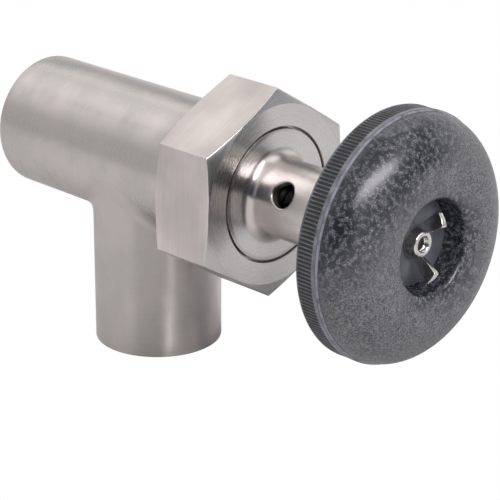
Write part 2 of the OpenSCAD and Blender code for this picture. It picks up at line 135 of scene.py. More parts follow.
def fill(tree: bpy.types.NodeTree, node: bpy.types.Node, inputs: dict | Iterable) -> None:
    """Set a node's inputs to values, or link them to the sockets that feed them.

    Args:
        tree: The node tree that the node is in.
        node: The node.
        inputs: Values and sockets, in the order of the inputs or by their names or numbers.
    """
    for key, value in inputs.items() if isinstance(inputs, dict) else enumerate(inputs):
        if isinstance(value, Socket):
            tree.links.new(value, node.inputs[key])
        else:
            node.inputs[key].default_value = value


def add_node(
    tree: bpy.types.NodeTree, kind: str, inputs: dict | Iterable = (), out: str | int = 0, **settings
) -> Socket:
    """Add a node with its settings and its links.

    A Mix node's inputs are 0 for the share, then what lies under and over: 2 and 3 for numbers, 4 and 5
    for vectors, 6 and 7 for colours. A Map Range node's are the value, the range it comes from and the
    range it is stretched to.

    Args:
        tree: The node tree to add to.
        kind: The node's type, without the words that all shader nodes' types start with.
        inputs: Values and sockets for its inputs, as fill takes them.
        out: Name or number of the output that is wanted.
        **settings: Properties of the node itself.

    Returns:
        The output.
    """
    node = tree.nodes.new("ShaderNode" + kind)
    for name, value in settings.items():
        setattr(node, name, value)
    fill(tree, node, inputs)
    return node.outputs[out]


class Surface:
    """A material under way: its node tree, its shader and the piece's own coordinates."""

    def __init__(self, name: str) -> None:
        """Start an opaque material with a plain shader.

        Args:
            name: The material's name.
        """
        self.material = bpy.data.materials.new(name)
        self.material.use_nodes = True
        self.tree = self.material.node_tree
        self.shader = self.tree.nodes["Principled BSDF"]
        self.place = self.node("TexCoord", out="Object")

    def node(self, kind: str, inputs: dict | Iterable = (), out: str | int = 0, **settings) -> Socket:
        """Add a node to this material."""
        return add_node(self.tree, kind, inputs, out, **settings)

    def set(self, **values) -> None:
        """Fill or link the shader's inputs, with an underscore for each space in a name."""
        fill(self.tree, self.shader, {name.replace("_", " "): value for name, value in values.items()})

    def patches(
        self, size: float, detail: float = 3.0, squash: tuple[float, ...] = (1, 1, 1), place: Socket | None = None
    ) -> Socket:
        """Noise of a real size on the piece.

        Args:
            size: Width of one patch in millimetres.
            detail: Octaves of the noise.
            squash: How many times finer the patches are along X, Y and Z.
            place: Coordinates to draw it on, or the piece's own.

        Returns:
            The noise, from 0 to 1.
        """
        inputs = {"Vector": self.place if place is None else place, "Scale": Vector(squash) / (size * MM)}
        return self.node("TexNoise", {"Vector": self.node("Mapping", inputs), "Scale": 1.0, "Detail": detail})

    def radius(self) -> Socket:
        """Distance from the run's axis, in metres."""
        flat = self.node("VectorMath", (self.place, Vector((1, 0, 1))), operation="MULTIPLY")
        return self.node("VectorMath", (flat,), "Value", operation="LENGTH")

    def turned_place(self) -> Socket:
        """Radius and run as a vector, so that lines drawn on it run round the run on faces and sides alike."""
        run = self.node("SeparateXYZ", (self.place,), "Y")
        return self.node("CombineXYZ", (self.radius(), run))

    def tangent_round(self, axis: tuple[int, ...], centre: tuple[float, ...] = ORIGIN) -> Socket:
        """Direction round an axis through a centre in metres, for a finish whose lines run round it."""
        arm = self.node("VectorMath", (self.place, centre), operation="SUBTRACT")
        return self.node("VectorMath", (axis, arm), operation="CROSS_PRODUCT")


# ---- finishes

# Most of a noise pattern lies between these two values.
LOW, HIGH = 0.3, 0.7
# How much coarser a belt's lines are along their length than across it.
LINE_STRETCH = 0.03
# Refractive index of moulded phenolic.
PHENOLIC_IOR = 1.55


@dataclass(frozen=True)
class Steel:
    """Austenitic stainless steel: warm grey, and as smooth and as lined as its maker left it.

    The lines scatter light across themselves, which the anisotropy shows, while the patches are where a
    polishing belt pressed harder or a hand has wiped. The ripple is the faint lengthwise flats that belt
    polishing leaves on a tube, and breaks its highlights into streaks.
    """

    name: str
    grain: Grain
    tint: str = "#d6cdc9"
    shade: str = "#c0bbb6"
    roughness: float = 0.4
    spread: float = 0.95
    line_pitch: float = 0.5
    line_depth: float = 0.003
    line_rough: float = 0.04
    patch_size: float = 14.0
    patch_rough: float = 0.08
    ripple: float = 0.0
    ripple_size: float = 4.0

    def make(self) -> Finish:
        """Build the material.

        Returns:
            The material.
        """
        s = Surface(self.name)
        patches, lines = s.patches(self.patch_size), self._lines(s)
        smooth, rough = self.roughness - self.patch_rough / 2, self.roughness + self.patch_rough / 2
        half = self.line_rough / 2
        tones = (
            s.node("MapRange", (patches, 0.35, 0.65, 0.0, 0.8)),
            s.node("MapRange", (lines, LOW, HIGH, 0.0, 0.2)),
        )
        gloss = (
            s.node("MapRange", (patches, LOW, HIGH, smooth, rough)),
            s.node("MapRange", (lines, LOW, HIGH, -half, half)),
        )
        toned = s.node("Math", tones, operation="ADD")
        colours = {0: toned, 6: linear(self.shade), 7: linear(self.tint)}
        relief = s.node("Bump", {"Height": lines, "Distance": self.line_depth * MM})
        if self.ripple:
            flats = (1, 1, 0.05) if self.grain is Grain.ROUND_OUTLET else (1, 0.05, 1)
            streaks = s.patches(self.ripple_size, 2.0, flats)
            relief = s.node("Bump", {"Height": streaks, "Distance": self.ripple * MM, "Normal": relief})
        if self.grain is not Grain.NONE:
            s.set(Tangent=self._tangent(s))
        s.set(
            Metallic=1.0,
            Anisotropic=self.spread,
            Anisotropic_Rotation=0.25,
            Base_Color=s.node("Mix", colours, 2, data_type="RGBA"),
            Roughness=s.node("Math", gloss, operation="ADD"),
            Normal=relief,
        )
        return s.material

    def _tangent(self, s: Surface) -> Socket:
        """Direction of the fine lines.

        Args:
            s: The material under way.

        Returns:
            The tangent.
        """
        round_run = s.tangent_round((0, 1, 0))
        round_outlet = s.tangent_round((0, 0, 1), (0, -RUN.outlet * MM, 0))
        if self.grain is Grain.JOINT:
            down = s.node("MapRange", (s.radius(), RUN.tube_r * MM, (RUN.tube_r + 2.0) * MM))
            return s.node("Mix", {0: down, 4: round_run, 5: round_outlet}, 1, data_type="VECTOR")
        return round_outlet if self.grain is Grain.ROUND_OUTLET else round_run

    def _lines(self, s: Surface) -> Socket:
        """The fine lines, drawn coarser than a real grit so that they show at all.

        Args:
            s: The material under way.

        Returns:
            The lines, from 0 to 1.
        """
        if self.grain is Grain.TURNED:
            return s.patches(self.line_pitch, 2.0, place=s.turned_place())
        if self.grain is Grain.NONE:
            return s.patches(self.line_pitch)
        across_run = (LINE_STRETCH, 1, LINE_STRETCH)
        across_outlet = (LINE_STRETCH, LINE_STRETCH, 1)
        return s.patches(self.line_pitch, 2.0, across_outlet if self.grain is Grain.ROUND_OUTLET else across_run)


@dataclass(frozen=True)
class Phenolic:
    """Black moulded phenolic, years old, with pale wood-flour filler in it.

    Where cloths and hands rub it, round the crest and on the low side, dust and wear have dulled the skin to an
    even charcoal grey. In the hollow of the recess and on the high side the skin is still dark, and the
    filler stands out of it as fine pale fibres.
    """

    name: str
    skin: str = "#1e2025"
    dust: str = "#727272"
    fleck: str = "#b0b1b9"
    roughness: float = 0.34
    grit_size: float = 0.42
    grit_depth: float = 0.006
    high_side: tuple[float, ...] = (-0.6, 0, 0.8)
    high_start: float = 11.0
    high_whole: float = 24.0
    settled_start: float = 29.5
    settled_whole: float = 32.5
    hollow_side: tuple[float, ...] = (0.18, 0, -0.12)
    hollow_whole: float = 12.5
    hollow_end: float = 17.0
    cloud_size: float = 4.0
    tuft_size: float = 1.2
    curls_per_mm: float = 1.25
    curl_width: float = 0.022
    bends_per_mm: float = 1.1
    bend: float = 0.0012
    cells_per_mm: float = 2.15
    cell_width: float = 0.07

    def make(self) -> Finish:
        """Build the material.

        Returns:
            The material.
        """
        s = Surface(self.name)
        skin = linear(self.skin)
        kept = self._kept_skin(s)
        grit = s.patches(self.grit_size, 2.0)
        covered = s.node("MapRange", (grit, 0.36, 0.66, 0.12, 1.0))
        dusted = s.node("Mix", {0: covered, 6: linear(self.dust), 7: skin}, 2, data_type="RGBA")
        base = s.node("Mix", {0: kept, 6: dusted, 7: skin}, 2, data_type="RGBA")
        shown = (self._fibres(s), s.node("MapRange", (kept, 0.0, 0.8, 0.24, 0.68)))
        fibres = s.node("Math", shown, operation="MULTIPLY")
        grain = s.node("Bump", {"Height": grit, "Distance": self.grit_depth * MM})
        s.set(
            Metallic=0.0,
            IOR=PHENOLIC_IOR,
            Base_Color=s.node("Mix", {0: fibres, 6: base, 7: linear(self.fleck)}, 2, data_type="RGBA"),
            Roughness=s.node("MapRange", (kept, 0.0, 1.0, self.roughness + 0.06, self.roughness - 0.09)),
            Normal=s.node("Bump", {"Height": fibres, "Distance": self.grit_depth * MM, "Normal": grain}),
        )
        return s.material

    def _kept_skin(self, s: Surface) -> Socket:
        """Where the skin is still dark: on the high side below the settled dust, and in the hollow.

        Args:
            s: The material under way.

        Returns:
            How dark it is, from 0 to 1.
        """
        slant, height, aside = (
            s.node("VectorMath", (s.place, side), "Value", operation="DOT_PRODUCT")
            for side in (self.high_side, (0, 0, 1), self.hollow_side)
        )
        high = s.node("MapRange", (slant, self.high_start * MM, self.high_whole * MM, 0.0, 1.15))
        settled = s.node("MapRange", (height, self.settled_start * MM, self.settled_whole * MM, 0.0, 1.1))
        middle = s.node("Math", (s.radius(), aside), operation="SUBTRACT")
        hollow = s.node("MapRange", (middle, self.hollow_whole * MM, self.hollow_end * MM, 1.0, 0.0))
        kept = s.node("Math", (s.node("Math", (high, settled), operation="SUBTRACT"), hollow), operation="MAXIMUM")
        cloud = s.node("MapRange", (s.patches(self.cloud_size, 4.0), LOW, HIGH, -0.22, 0.3))
        return s.node("MapRange", (s.node("Math", (kept, cloud), operation="ADD"),))

    def _fibres(self, s: Surface) -> Socket:
        """Fine curled fibres: the level lines of a swirling noise and the edges of a bent cell pattern, in tufts.

        Args:
            s: The material under way.

        Returns:
            The fibres, from 0 to 1.
        """
        swirls = {"Vector": s.place, "Scale": self.curls_per_mm / MM, "Detail": 2.0, "Distortion": 0.6}
        off = s.node("Math", (s.node("TexNoise", swirls), 0.5), operation="SUBTRACT")
        level = s.node("Math", (off,), operation="ABSOLUTE")
        curls = s.node("MapRange", (level, 0.0, self.curl_width, 1.0, 0.0))
        bends = s.node("TexNoise", {"Vector": s.place, "Scale": self.bends_per_mm / MM, "Detail": 2.0}, "Color")
        bent = s.node("Mix", {0: self.bend, 4: s.place, 5: bends}, 1, data_type="VECTOR")
        cells = {"Vector": bent, "Scale": self.cells_per_mm / MM}
        edge = s.node("TexVoronoi", cells, "Distance", feature="DISTANCE_TO_EDGE")
        web = s.node("MapRange", (edge, 0.0, self.cell_width, 0.9, 0.0))
        tufts = s.node("MapRange", (s.patches(self.tuft_size), 0.45, 0.6))
        return s.node("Math", (s.node("Math", (curls, web), operation="MAXIMUM"), tufts), operation="MULTIPLY")


@dataclass(frozen=True)
class RimPhenolic:
    """The knob's rim, of the same phenolic: the ribs' tips are grey from hands' wear, with a painted highlight on
    them, and the valleys are dark from dirt, with painted shade in them.
    """

    name: str
    worn_and_highlit: str = "#828388"
    dirt_and_shade: str = "#222326"
    tip_r: float = 33.3
    valley_r: float = 33.08
    cloud_size: float = 3.0
    grain_size: float = 0.5
    grain_depth: float = 0.01

    def make(self) -> Finish:
        """Build the material.

        Returns:
            The material.
        """
        s = Surface(self.name)
        # Painted highlight and shade: by radius, the colour runs from dark in the valleys to grey at the tips, on
        # top of the dirt and wear.
        tip_wear_and_light = s.node("MapRange", (s.radius(), self.valley_r * MM, self.tip_r * MM))
        cloud = s.patches(self.cloud_size, 4.0)
        share = s.node("Math", (tip_wear_and_light, s.node("MapRange", (cloud, LOW, HIGH, 0.3, 1.0))), operation="MULTIPLY")
        grain = s.patches(self.grain_size, 2.0)
        s.set(
            Metallic=0.0,
            IOR=PHENOLIC_IOR,
            Base_Color=s.node("Mix", {0: share, 6: linear(self.dirt_and_shade), 7: linear(self.worn_and_highlit)}, 2, data_type="RGBA"),
            Roughness=s.node("MapRange", (cloud, LOW, HIGH, 0.34, 0.46)),
            Normal=s.node("Bump", {"Height": grain, "Distance": self.grain_depth * MM}),
        )
        return s.material


@dataclass(frozen=True)
class GroundLineAndHighlight:
    """The mould's parting line, ground back by hand: in the middle of the chamfer the skin is gone, so the filler
    shows pale and lilac grey, duller where the wheel skipped. The same pale band also carries a painted highlight
    along the chamfer."""

    name: str
    pale_and_highlit: str = "#7f7e89"
    dull: str = "#5a5a62"
    skin: str = "#303238"
    middle_r: float = 33.03
    width: float = 0.45
    skip_size: float = 2.5
    skip_depth: float = 0.03

    def make(self) -> Finish:
        """Build the material.

        Returns:
            The material.
        """
        s = Surface(self.name)
        skips = s.patches(self.skip_size)
        # Pale ground filler, with a painted highlight laid into the same band.
        wheel = {0: s.node("MapRange", (skips, 0.36, 0.55)), 6: linear(self.dull), 7: linear(self.pale_and_highlit)}
        ground_and_highlit = s.node("Mix", wheel, 2, data_type="RGBA")
        side = s.node("Math", (s.radius(), self.middle_r * MM), operation="SUBTRACT")
        off = s.node("Math", (side,), operation="ABSOLUTE")
        inside = s.node("MapRange", (off, self.width * 0.35 * MM, self.width * 0.65 * MM, 1.0, 0.0))
        s.set(
            Roughness=0.55,
            IOR=PHENOLIC_IOR,
            Base_Color=s.node("Mix", {0: inside, 6: linear(self.skin), 7: ground_and_highlit}, 2, data_type="RGBA"),
            Normal=s.node("Bump", {"Height": skips, "Distance": self.skip_depth * MM}),
        )
        return s.material


@dataclass(frozen=True)
class Soft:
    """A plain-grained piece: a dark washer, pressed gasket sheet, moulded rubber or sintered bronze.

    Two sizes of noise keep it from being one flat colour: the larger is handling marks, the smaller is the
    grain of the stuff itself.
    """

    name: str
    light: str
    dark: str
    roughness: float
    grain_size: float = 0.5
    grain_depth: float = 0.02
    mark_size: float = 6.0
    metallic: float = 0.0

    def make(self) -> Finish:
        """Build the material.

        Returns:
            The material.
        """
        s = Surface(self.name)
        marks = s.node("MapRange", (s.patches(self.mark_size), LOW, HIGH))
        grain = s.patches(self.grain_size, 2.0)
        s.set(
            Metallic=self.metallic,
            Base_Color=s.node("Mix", {0: marks, 6: linear(self.dark), 7: linear(self.light)}, 2, data_type="RGBA"),
            Roughness=s.node("MapRange", (grain, LOW, HIGH, self.roughness - 0.06, self.roughness + 0.06)),
            Normal=s.node("Bump", {"Height": grain, "Distance": self.grain_depth * MM}),
        )
        return s.material


FINISHES = (
    # Belt-polished tube: silky, with long soft streaks and fine lines round it.
    Steel("satin_tube", Grain.ROUND_RUN, roughness=0.29, spread=1.0, ripple=0.04),
    # The same belt on the outlet, a little coarser, so its streaks are softer.
    Steel("satin_outlet", Grain.ROUND_OUTLET, roughness=0.34, spread=1.0, ripple=0.05),
    # Weld, ground and belted until the two tubes' lines run together in it.
    Steel("dressed_weld", Grain.JOINT, "#d4cbc7", "#beb9b4", roughness=0.34, spread=1.0),
    # Hex bar, belted and wiped: broad flats with an even, slightly cloudy shine.
    Steel("satin_nut", Grain.ROUND_RUN, "#e4dad6", "#bfb7b3", 0.34, 0.85, line_depth=0.002, patch_size=20.0),
    # Lathe-faced steel: faint close rings that fan the light out from the middle.
    Steel("turned_face", Grain.TURNED, "#d1cdcb", "#c5c2c0", 0.27, 0.85, 0.3, 0.0001, patch_rough=0.02),
    # Turned and buffed neck: the smoothest steel, with a long clean highlight.
    Steel("polished_neck", Grain.ROUND_RUN, roughness=0.24, spread=0.9, line_depth=0.001, patch_rough=0.02),
    # Machined and left so: greyer, with plain tool rings.
    Steel("machined_steel", Grain.TURNED, "#c4bfbc", "#aaa5a2", roughness=0.35, spread=0.6),
    # Stem under food-grade grease: dark and blurred.
    Steel("greased_stem", Grain.TURNED, "#5a5650", "#35322e", roughness=0.45, spread=0.3),
    # Spring wire, blued by its tempering.
    Steel("blued_spring", Grain.NONE, "#5a5f68", "#44474e", roughness=0.3, spread=0.0, line_pitch=0.6),
    # Cast and plated: bright, with the soft lumps of the casting under the plate.
    Steel("bright_plate", Grain.NONE, "#dcd9d7", "#bdb9b7", 0.2, 0.0, 0.8, 0.006, patch_size=3.0),
    # Dark washer: matt and finely grained.
    Soft("dark_washer", "#5b5c63", "#414248", 0.4, grain_size=0.6, grain_depth=0.012),
    # Gasket sheet: off-white and matt.
    Soft("pressed_gasket", "#e6e2da", "#cfcac0", 0.7),
    # Moulded rubber: near black, with a dull bloom.
    Soft("moulded_rubber", "#2c2c2e", "#1f1f21", 0.62),
    # Sintered bronze: brown-gold and finely porous.
    Soft("sintered_bronze", "#b98f55", "#94703f", 0.42, metallic=1.0),
    # The knob's front and back: dull charcoal where it is rubbed, dark with pale fibres where it isn't.
    Phenolic("moulded_phenolic"),
    # The knob's ribs: grey tips over dark valleys, with painted highlight on the tips and painted shade in the
    # valleys.
    RimPhenolic("handled_phenolic"),
    # The knob's parting line: a thin pale band, a little uneven, partly a painted highlight.
    GroundLineAndHighlight("ground_parting_line"),
)


# ---- shaping

# Points closer than this, in millimetres, are one point.
MERGE = 1e-4
# A point this near a radius or a plane, in millimetres, lies on it.
TOUCH = 0.01
# Past this angle, in degrees, an edge counts as one to be rounded.
CREASE = 35


def swing(bm: BMesh, verts: Iterable[bmesh.types.BMVert], degrees: float, axis: str = "Y") -> None:
    """Turn points about an axis through the origin."""
    bmesh.ops.rotate(bm, verts=list(verts), cent=ORIGIN, matrix=Matrix.Rotation(math.radians(degrees), 3, axis))


def spin_round(bm: BMesh, geom: list, axis: tuple[int, int, int], steps: int) -> None:
    """Spin points and edges a full turn round an axis through the origin, back onto themselves."""
    bmesh.ops.spin(bm, geom=geom, cent=ORIGIN, axis=axis, angle=FULL_TURN, steps=steps, use_merge=True)


def close_up(bm: BMesh) -> None:
    """Merge doubled points and turn the faces outwards."""
    bmesh.ops.remove_doubles(bm, verts=bm.verts, dist=MERGE)
    bmesh.ops.recalc_face_normals(bm, faces=bm.faces)


def round_off(bm: BMesh, geom: list, ease: float, segments: int, affect: str = "EDGES", **more: bool) -> None:
    """Round edges, or the corners of a wire."""
    bmesh.ops.bevel(bm, geom=geom, offset=ease, segments=segments, profile=0.5, affect=affect, material=-1, **more)


def turn(bm: BMesh, profile: list[Corner], segments: int, step: float = 0.0, start: float = 0.0) -> None:
    """Spin a closed profile round the run, its corners rounded first.

    Args:
        bm: The mesh to build in.
        profile: The section's corners, in order round the section.
        segments: Steps round the run.
        step: Longest edge left along the profile, or 0 to leave the edges whole.
        start: Angle of the first section, from +X towards +Z, in degrees.
    """
    points = [bm.verts.new((radius, -run, 0)) for radius, run, _ in profile]
    for a, b in zip(points, points[1:] + points[:1]):
        bm.edges.new((a, b))
    for ease in sorted({corner[2] for corner in profile if corner[2] > 0}):
        eased = [p for p, corner in zip(points, profile) if corner[2] == ease]
        round_off(bm, eased, ease, max(2, round(ease * 4)), "VERTICES")
    if step:
        for edge in list(bm.edges):
            cuts = int(edge.calc_length() / step)
            if cuts:
                bmesh.ops.subdivide_edges(bm, edges=[edge], cuts=cuts)
    swing(bm, bm.verts, -start)
    spin_round(bm, list(bm.verts) + list(bm.edges), (0, 1, 0), segments)
    close_up(bm)


def turned(name: str, profile: list[Corner], segments: int = 128, step: float = 0.0) -> Piece:
    """Make a piece that is a turned profile and nothing more.

    Args:
        name: The piece's name.
        profile: The section's corners, in order round the section.
        segments: Steps round the run.
        step: Longest edge left along the profile, or 0 to leave the edges whole.

    Returns:
        The piece.
    """
    bm = bmesh.new()
    turn(bm, profile, segments, step)
    return solid(bm, name)


def arc(
    centre: tuple[float, float], width: float, height: float, first: float, last: float, steps: int
) -> list[Corner]:
    """Corners along a quarter ellipse, from one angle to another, in degrees."""
    angles = [math.radians(first + (last - first) * i / steps) for i in range(steps + 1)]
    return [(centre[0] + width * math.cos(a), centre[1] + height * math.sin(a), 0.0) for a in angles]


def ring_of(
    bm: BMesh, count: int, segments: int, shape: Callable[[int, float], Vector], closed: bool = True
) -> None:
    """Spin a section of numbered points and move each to where a formula puts it.

    Args:
        bm: The mesh to build in.
        count: Points in the section.
        segments: Steps round the ring.
        shape: Gives the place of a point from its number and its angle in radians.
        closed: Whether the section closes on itself, or else runs from pole to pole.
    """
    points = [bm.verts.new((1.0, 0.0, float(k))) for k in range(count)]
    pairs = list(zip(points, points[1:])) + ([(points[-1], points[0])] if closed else [])
    wire = [bm.edges.new(pair) for pair in pairs]
    spin_round(bm, points + wire, (0, 0, 1), segments)
    for vert in bm.verts:
        vert.co = shape(round(vert.co.z), math.atan2(vert.co.y, vert.co.x))
    close_up(bm)


def cut_thread(
    bm: BMesh, first: float, last: float, crest: float, depth: float, pitch: float, starts: int = 1
) -> None:
    """Move the points of a turned side onto a screw thread.

    Args:
        bm: The turned mesh, fine enough along the run to carry the thread.
        first: Where the thread begins along the run.
        last: Where it ends.
        crest: Radius of the side before it is threaded.
        depth: Depth of the groove.
        pitch: Distance from crest to crest.
        starts: Number of threads side by side.
    """
    for vert in bm.verts:
        run, radius = -vert.co.y, math.hypot(vert.co.x, vert.co.z)
        if not first < run < last or abs(radius - crest) > 2 * TOUCH:
            continue
        phase = (run / pitch + starts * math.atan2(vert.co.z, vert.co.x) / FULL_TURN) % 1.0
        fade = min(1.0, (run - first) / pitch, (last - run) / pitch)
        groove = min(1.0, 1.25 * (1.0 - abs(2.0 * phase - 1.0)))
        scale = (radius - depth * groove * fade) / radius
        vert.co.x *= scale
        vert.co.z *= scale


def polygon_plate(
    bm: BMesh, outline: Iterable[tuple[float, float]], thick: float, ease: float
) -> list[bmesh.types.BMVert]:
    """Extrude an outline of radius and run to a plate through the run's axis, with rounded edges.

    Args:
        bm: The mesh to build in.
        outline: The plate's corners, in order.
        thick: Its thickness.
        ease: Radius of its edges.

    Returns:
        The plate's points.
    """
    before = set(bm.verts)
    face = bm.faces.new([bm.verts.new((radius, -run, -thick / 2)) for radius, run in outline])
    raised = bmesh.ops.extrude_face_region(bm, geom=[face])["geom"]
    top = [g for g in raised if isinstance(g, bmesh.types.BMVert)]
    bmesh.ops.translate(bm, verts=top, vec=(0, 0, thick))
    new = [v for v in bm.verts if v not in before]
    bmesh.ops.recalc_face_normals(bm, faces=list({f for v in new for f in v.link_faces}))
    edges = {e for v in new for e in v.link_edges}
    sharp = [e for e in edges if e.calc_face_angle(0.0) > math.radians(CREASE)]
    round_off(bm, sharp, ease, 3, clamp_overlap=True)
    return [v for v in bm.verts if v not in before]


def solid(bm: BMesh, name: str) -> Piece:
    """Make an object in metres from a mesh built in millimetres.

    Args:
        bm: The mesh, which is freed.
        name: The object's name.

    Returns:
        The object.
    """
    bmesh.ops.scale(bm, vec=(MM, MM, MM), verts=bm.verts)
    mesh = bpy.data.meshes.new(name)
    bm.to_mesh(mesh)
    bm.free()
    piece = bpy.data.objects.new(name, mesh)
    bpy.context.scene.collection.objects.link(piece)
    return piece


def carve(piece: Piece, tool: Piece, operation: str = "DIFFERENCE") -> None:
    """Cut a tool's shape out of a piece, or join it on, and remove the tool.

    Args:
        piece: The piece.
        tool: The shape to cut or join with.
        operation: The boolean operation.
    """
    cut = piece.modifiers.new("carve", "BOOLEAN")
    cut.operation, cut.solver, cut.object = operation, "EXACT", tool
    mesh = bpy.data.meshes.new_from_object(piece.evaluated_get(bpy.context.evaluated_depsgraph_get()))
    piece.modifiers.clear()
    piece.data = mesh
    bpy.data.objects.remove(tool)


# ---- sub-assemblies


@dataclass
class Assembly:
    """A sub-assembly of the faucet, which rides on one body of the frame."""

    finishes: dict[str, Finish]
    nodes: dict[str, Piece]
    body: Body = Body.VALVE

    def place(self, piece: Piece, slot: str, node: str, *finishes: str, sharp: float = 32.0) -> None:
        """Finish a piece: smooth it up to its sharp edges, dress it, and tie it to the frame.

        Args:
            piece: The shaped piece.
            slot: The record's material slot for the piece; not used.
            node: The solid that it stands for.
            *finishes: Names of its finishes, in the order of its faces' numbers.
            sharp: Angle past which an edge stays sharp, in degrees.
        """
        for finish in finishes:
            piece.data.materials.append(self.finishes[finish])
        piece.data.shade_smooth()
        piece.data.set_sharp_from_angle(angle=math.radians(sharp))
        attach(piece, self.body.value)
        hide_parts(node)
        log.info("%s: %d faces", piece.name, len(piece.data.polygons))

    def dress(self, node: str, finish: str) -> None:
        """Give a solid of the frame its finish."""
        self.nodes[node].data.materials.clear()
        self.nodes[node].data.materials.append(self.finishes[finish])


@dataclass
class TeeBody(Assembly):
    """The welded body: the run tube, the outlet tube, the dressed weld between them and the seat ring."""

    outlet_r: float = 18.25
    outlet_bore_r: float = 16.6
    outlet_drop: float = 54.6
    weld_leg: float = 3.4
    weld_steps: int = 10
    seat_bore_r: float = 13.5
    seat_edge: float = 0.6
    segments: int = 192

    def build(self) -> None:
        """Build and dress the body's pieces."""
        self.place(self._run_tube(), "satin_tube", "inlet_tube", "satin_tube")
        self.place(self._outlet_tube(), "satin_tube", "outlet_tube", "satin_outlet")
        self.place(self._weld(), "dressed_weld", "tee_weld", "dressed_weld")
        self.place(self._seat(), "inner_steel", "valve_seat", "machined_steel")

    def _run_tube(self) -> Piece:
        """The run tube, with its opening into the outlet.

        Returns:
            The piece.
        """
        profile = [
            (RUN.bore_r, 0, 0.2), (RUN.tube_r, 0, 0.2), (RUN.tube_r, RUN.tube_end, 0.2),
            (RUN.machined_r, RUN.tube_end, 0.2), (RUN.machined_r, RUN.seat_back, 0), (RUN.bore_r, RUN.seat_back, 0),
        ]
        tube = turned("run_tube", profile, self.segments, step=4)
        drill, bore = bmesh.new(), self.outlet_bore_r
        bmesh.ops.create_cone(
            drill, cap_ends=True, segments=self.segments, radius1=bore, radius2=bore, depth=RUN.tube_r * 2
        )
        bmesh.ops.translate(drill, verts=drill.verts, vec=(0, -RUN.outlet, -RUN.tube_r))
        carve(tube, solid(drill, "outlet_drill"))
        return tube

    def _outlet_tube(self) -> Piece:
        """The outlet tube, its top moved down onto the run tube.

        Returns:
            The piece.
        """
        bm = bmesh.new()
        profile = [
            (self.outlet_bore_r, self.outlet_drop, 0.3), (self.outlet_r, self.outlet_drop, 0.3),
            (self.outlet_r, RUN.tube_r, 0), (self.outlet_bore_r, RUN.tube_r, 0),
        ]
        turn(bm, profile, self.segments, step=4)
        swing(bm, bm.verts, 90, "X")
        for vert in bm.verts:
            if vert.co.z > -RUN.tube_r - TOUCH:
                vert.co.z = -math.sqrt(RUN.tube_r**2 - vert.co.x**2) + 0.02
        bmesh.ops.translate(bm, verts=bm.verts, vec=(0, -RUN.outlet, 0))
        return solid(bm, "outlet_spout")

    def _saddle(self, angle: float) -> Vector:
        """Point where the outlet meets the run tube, with the outlet's axis through the origin."""
        x = self.outlet_r * math.cos(angle)
        return Vector((x, self.outlet_r * math.sin(angle), -math.sqrt(RUN.tube_r**2 - x * x)))

    def _weld_point(self, number: int, angle: float) -> Vector:
        """Point of the weld's section at an angle round the outlet.

        Args:
            number: The point's number: the root first, then from toe to toe.
            angle: The angle in radians.

        Returns:
            The point.
        """
        foot = self._saddle(angle)
        if number == 0:
            return foot * 0.975 + Vector((0, -RUN.outlet, 0))
        nudge = 0.01
        step = self._saddle(angle + nudge) - self._saddle(angle - nudge)
        out = Vector((foot.x, 0, foot.z)).normalized()
        across = step.cross(out).normalized()
        if across.dot(Vector((foot.x, foot.y, 0))) < 0:
            across.negate()
        upper = foot + across * self.weld_leg
        spread = RUN.tube_r / math.hypot(upper.x, upper.z)
        upper = Vector((upper.x * spread, upper.y, upper.z * spread))
        lower = foot - Vector((0, 0, self.weld_leg))
        pull = foot + Vector((math.cos(angle), math.sin(angle), -1)) * self.weld_leg * 0.03
        q = (number - 1) / self.weld_steps
        point = upper * (1 - q) ** 2 + pull * 2 * q * (1 - q) + lower * q**2
        return point + Vector((0, -RUN.outlet, 0))

    def _weld(self) -> Piece:
        """The weld, ground and polished to a hollow blend.

        Returns:
            The piece.
        """
        bm = bmesh.new()
        ring_of(bm, self.weld_steps + 2, self.segments, self._weld_point)
        return solid(bm, "blended_weld")

    def _seat(self) -> Piece:
        """The seat ring that the seal closes on.

        Returns:
            The piece.
        """
        back, face, outer = RUN.seat_back, RUN.seat_face, RUN.machined_r
        bore, edge = self.seat_bore_r, self.seat_edge
        profile = [
            (bore, back, 0.4), (outer, back, 0), (outer, face - edge, 0), (outer - edge, face, 0.1),
            (bore + edge, face, 0.2), (bore, face - edge, 0.2),
        ]
        return turned("seat_ring", profile)


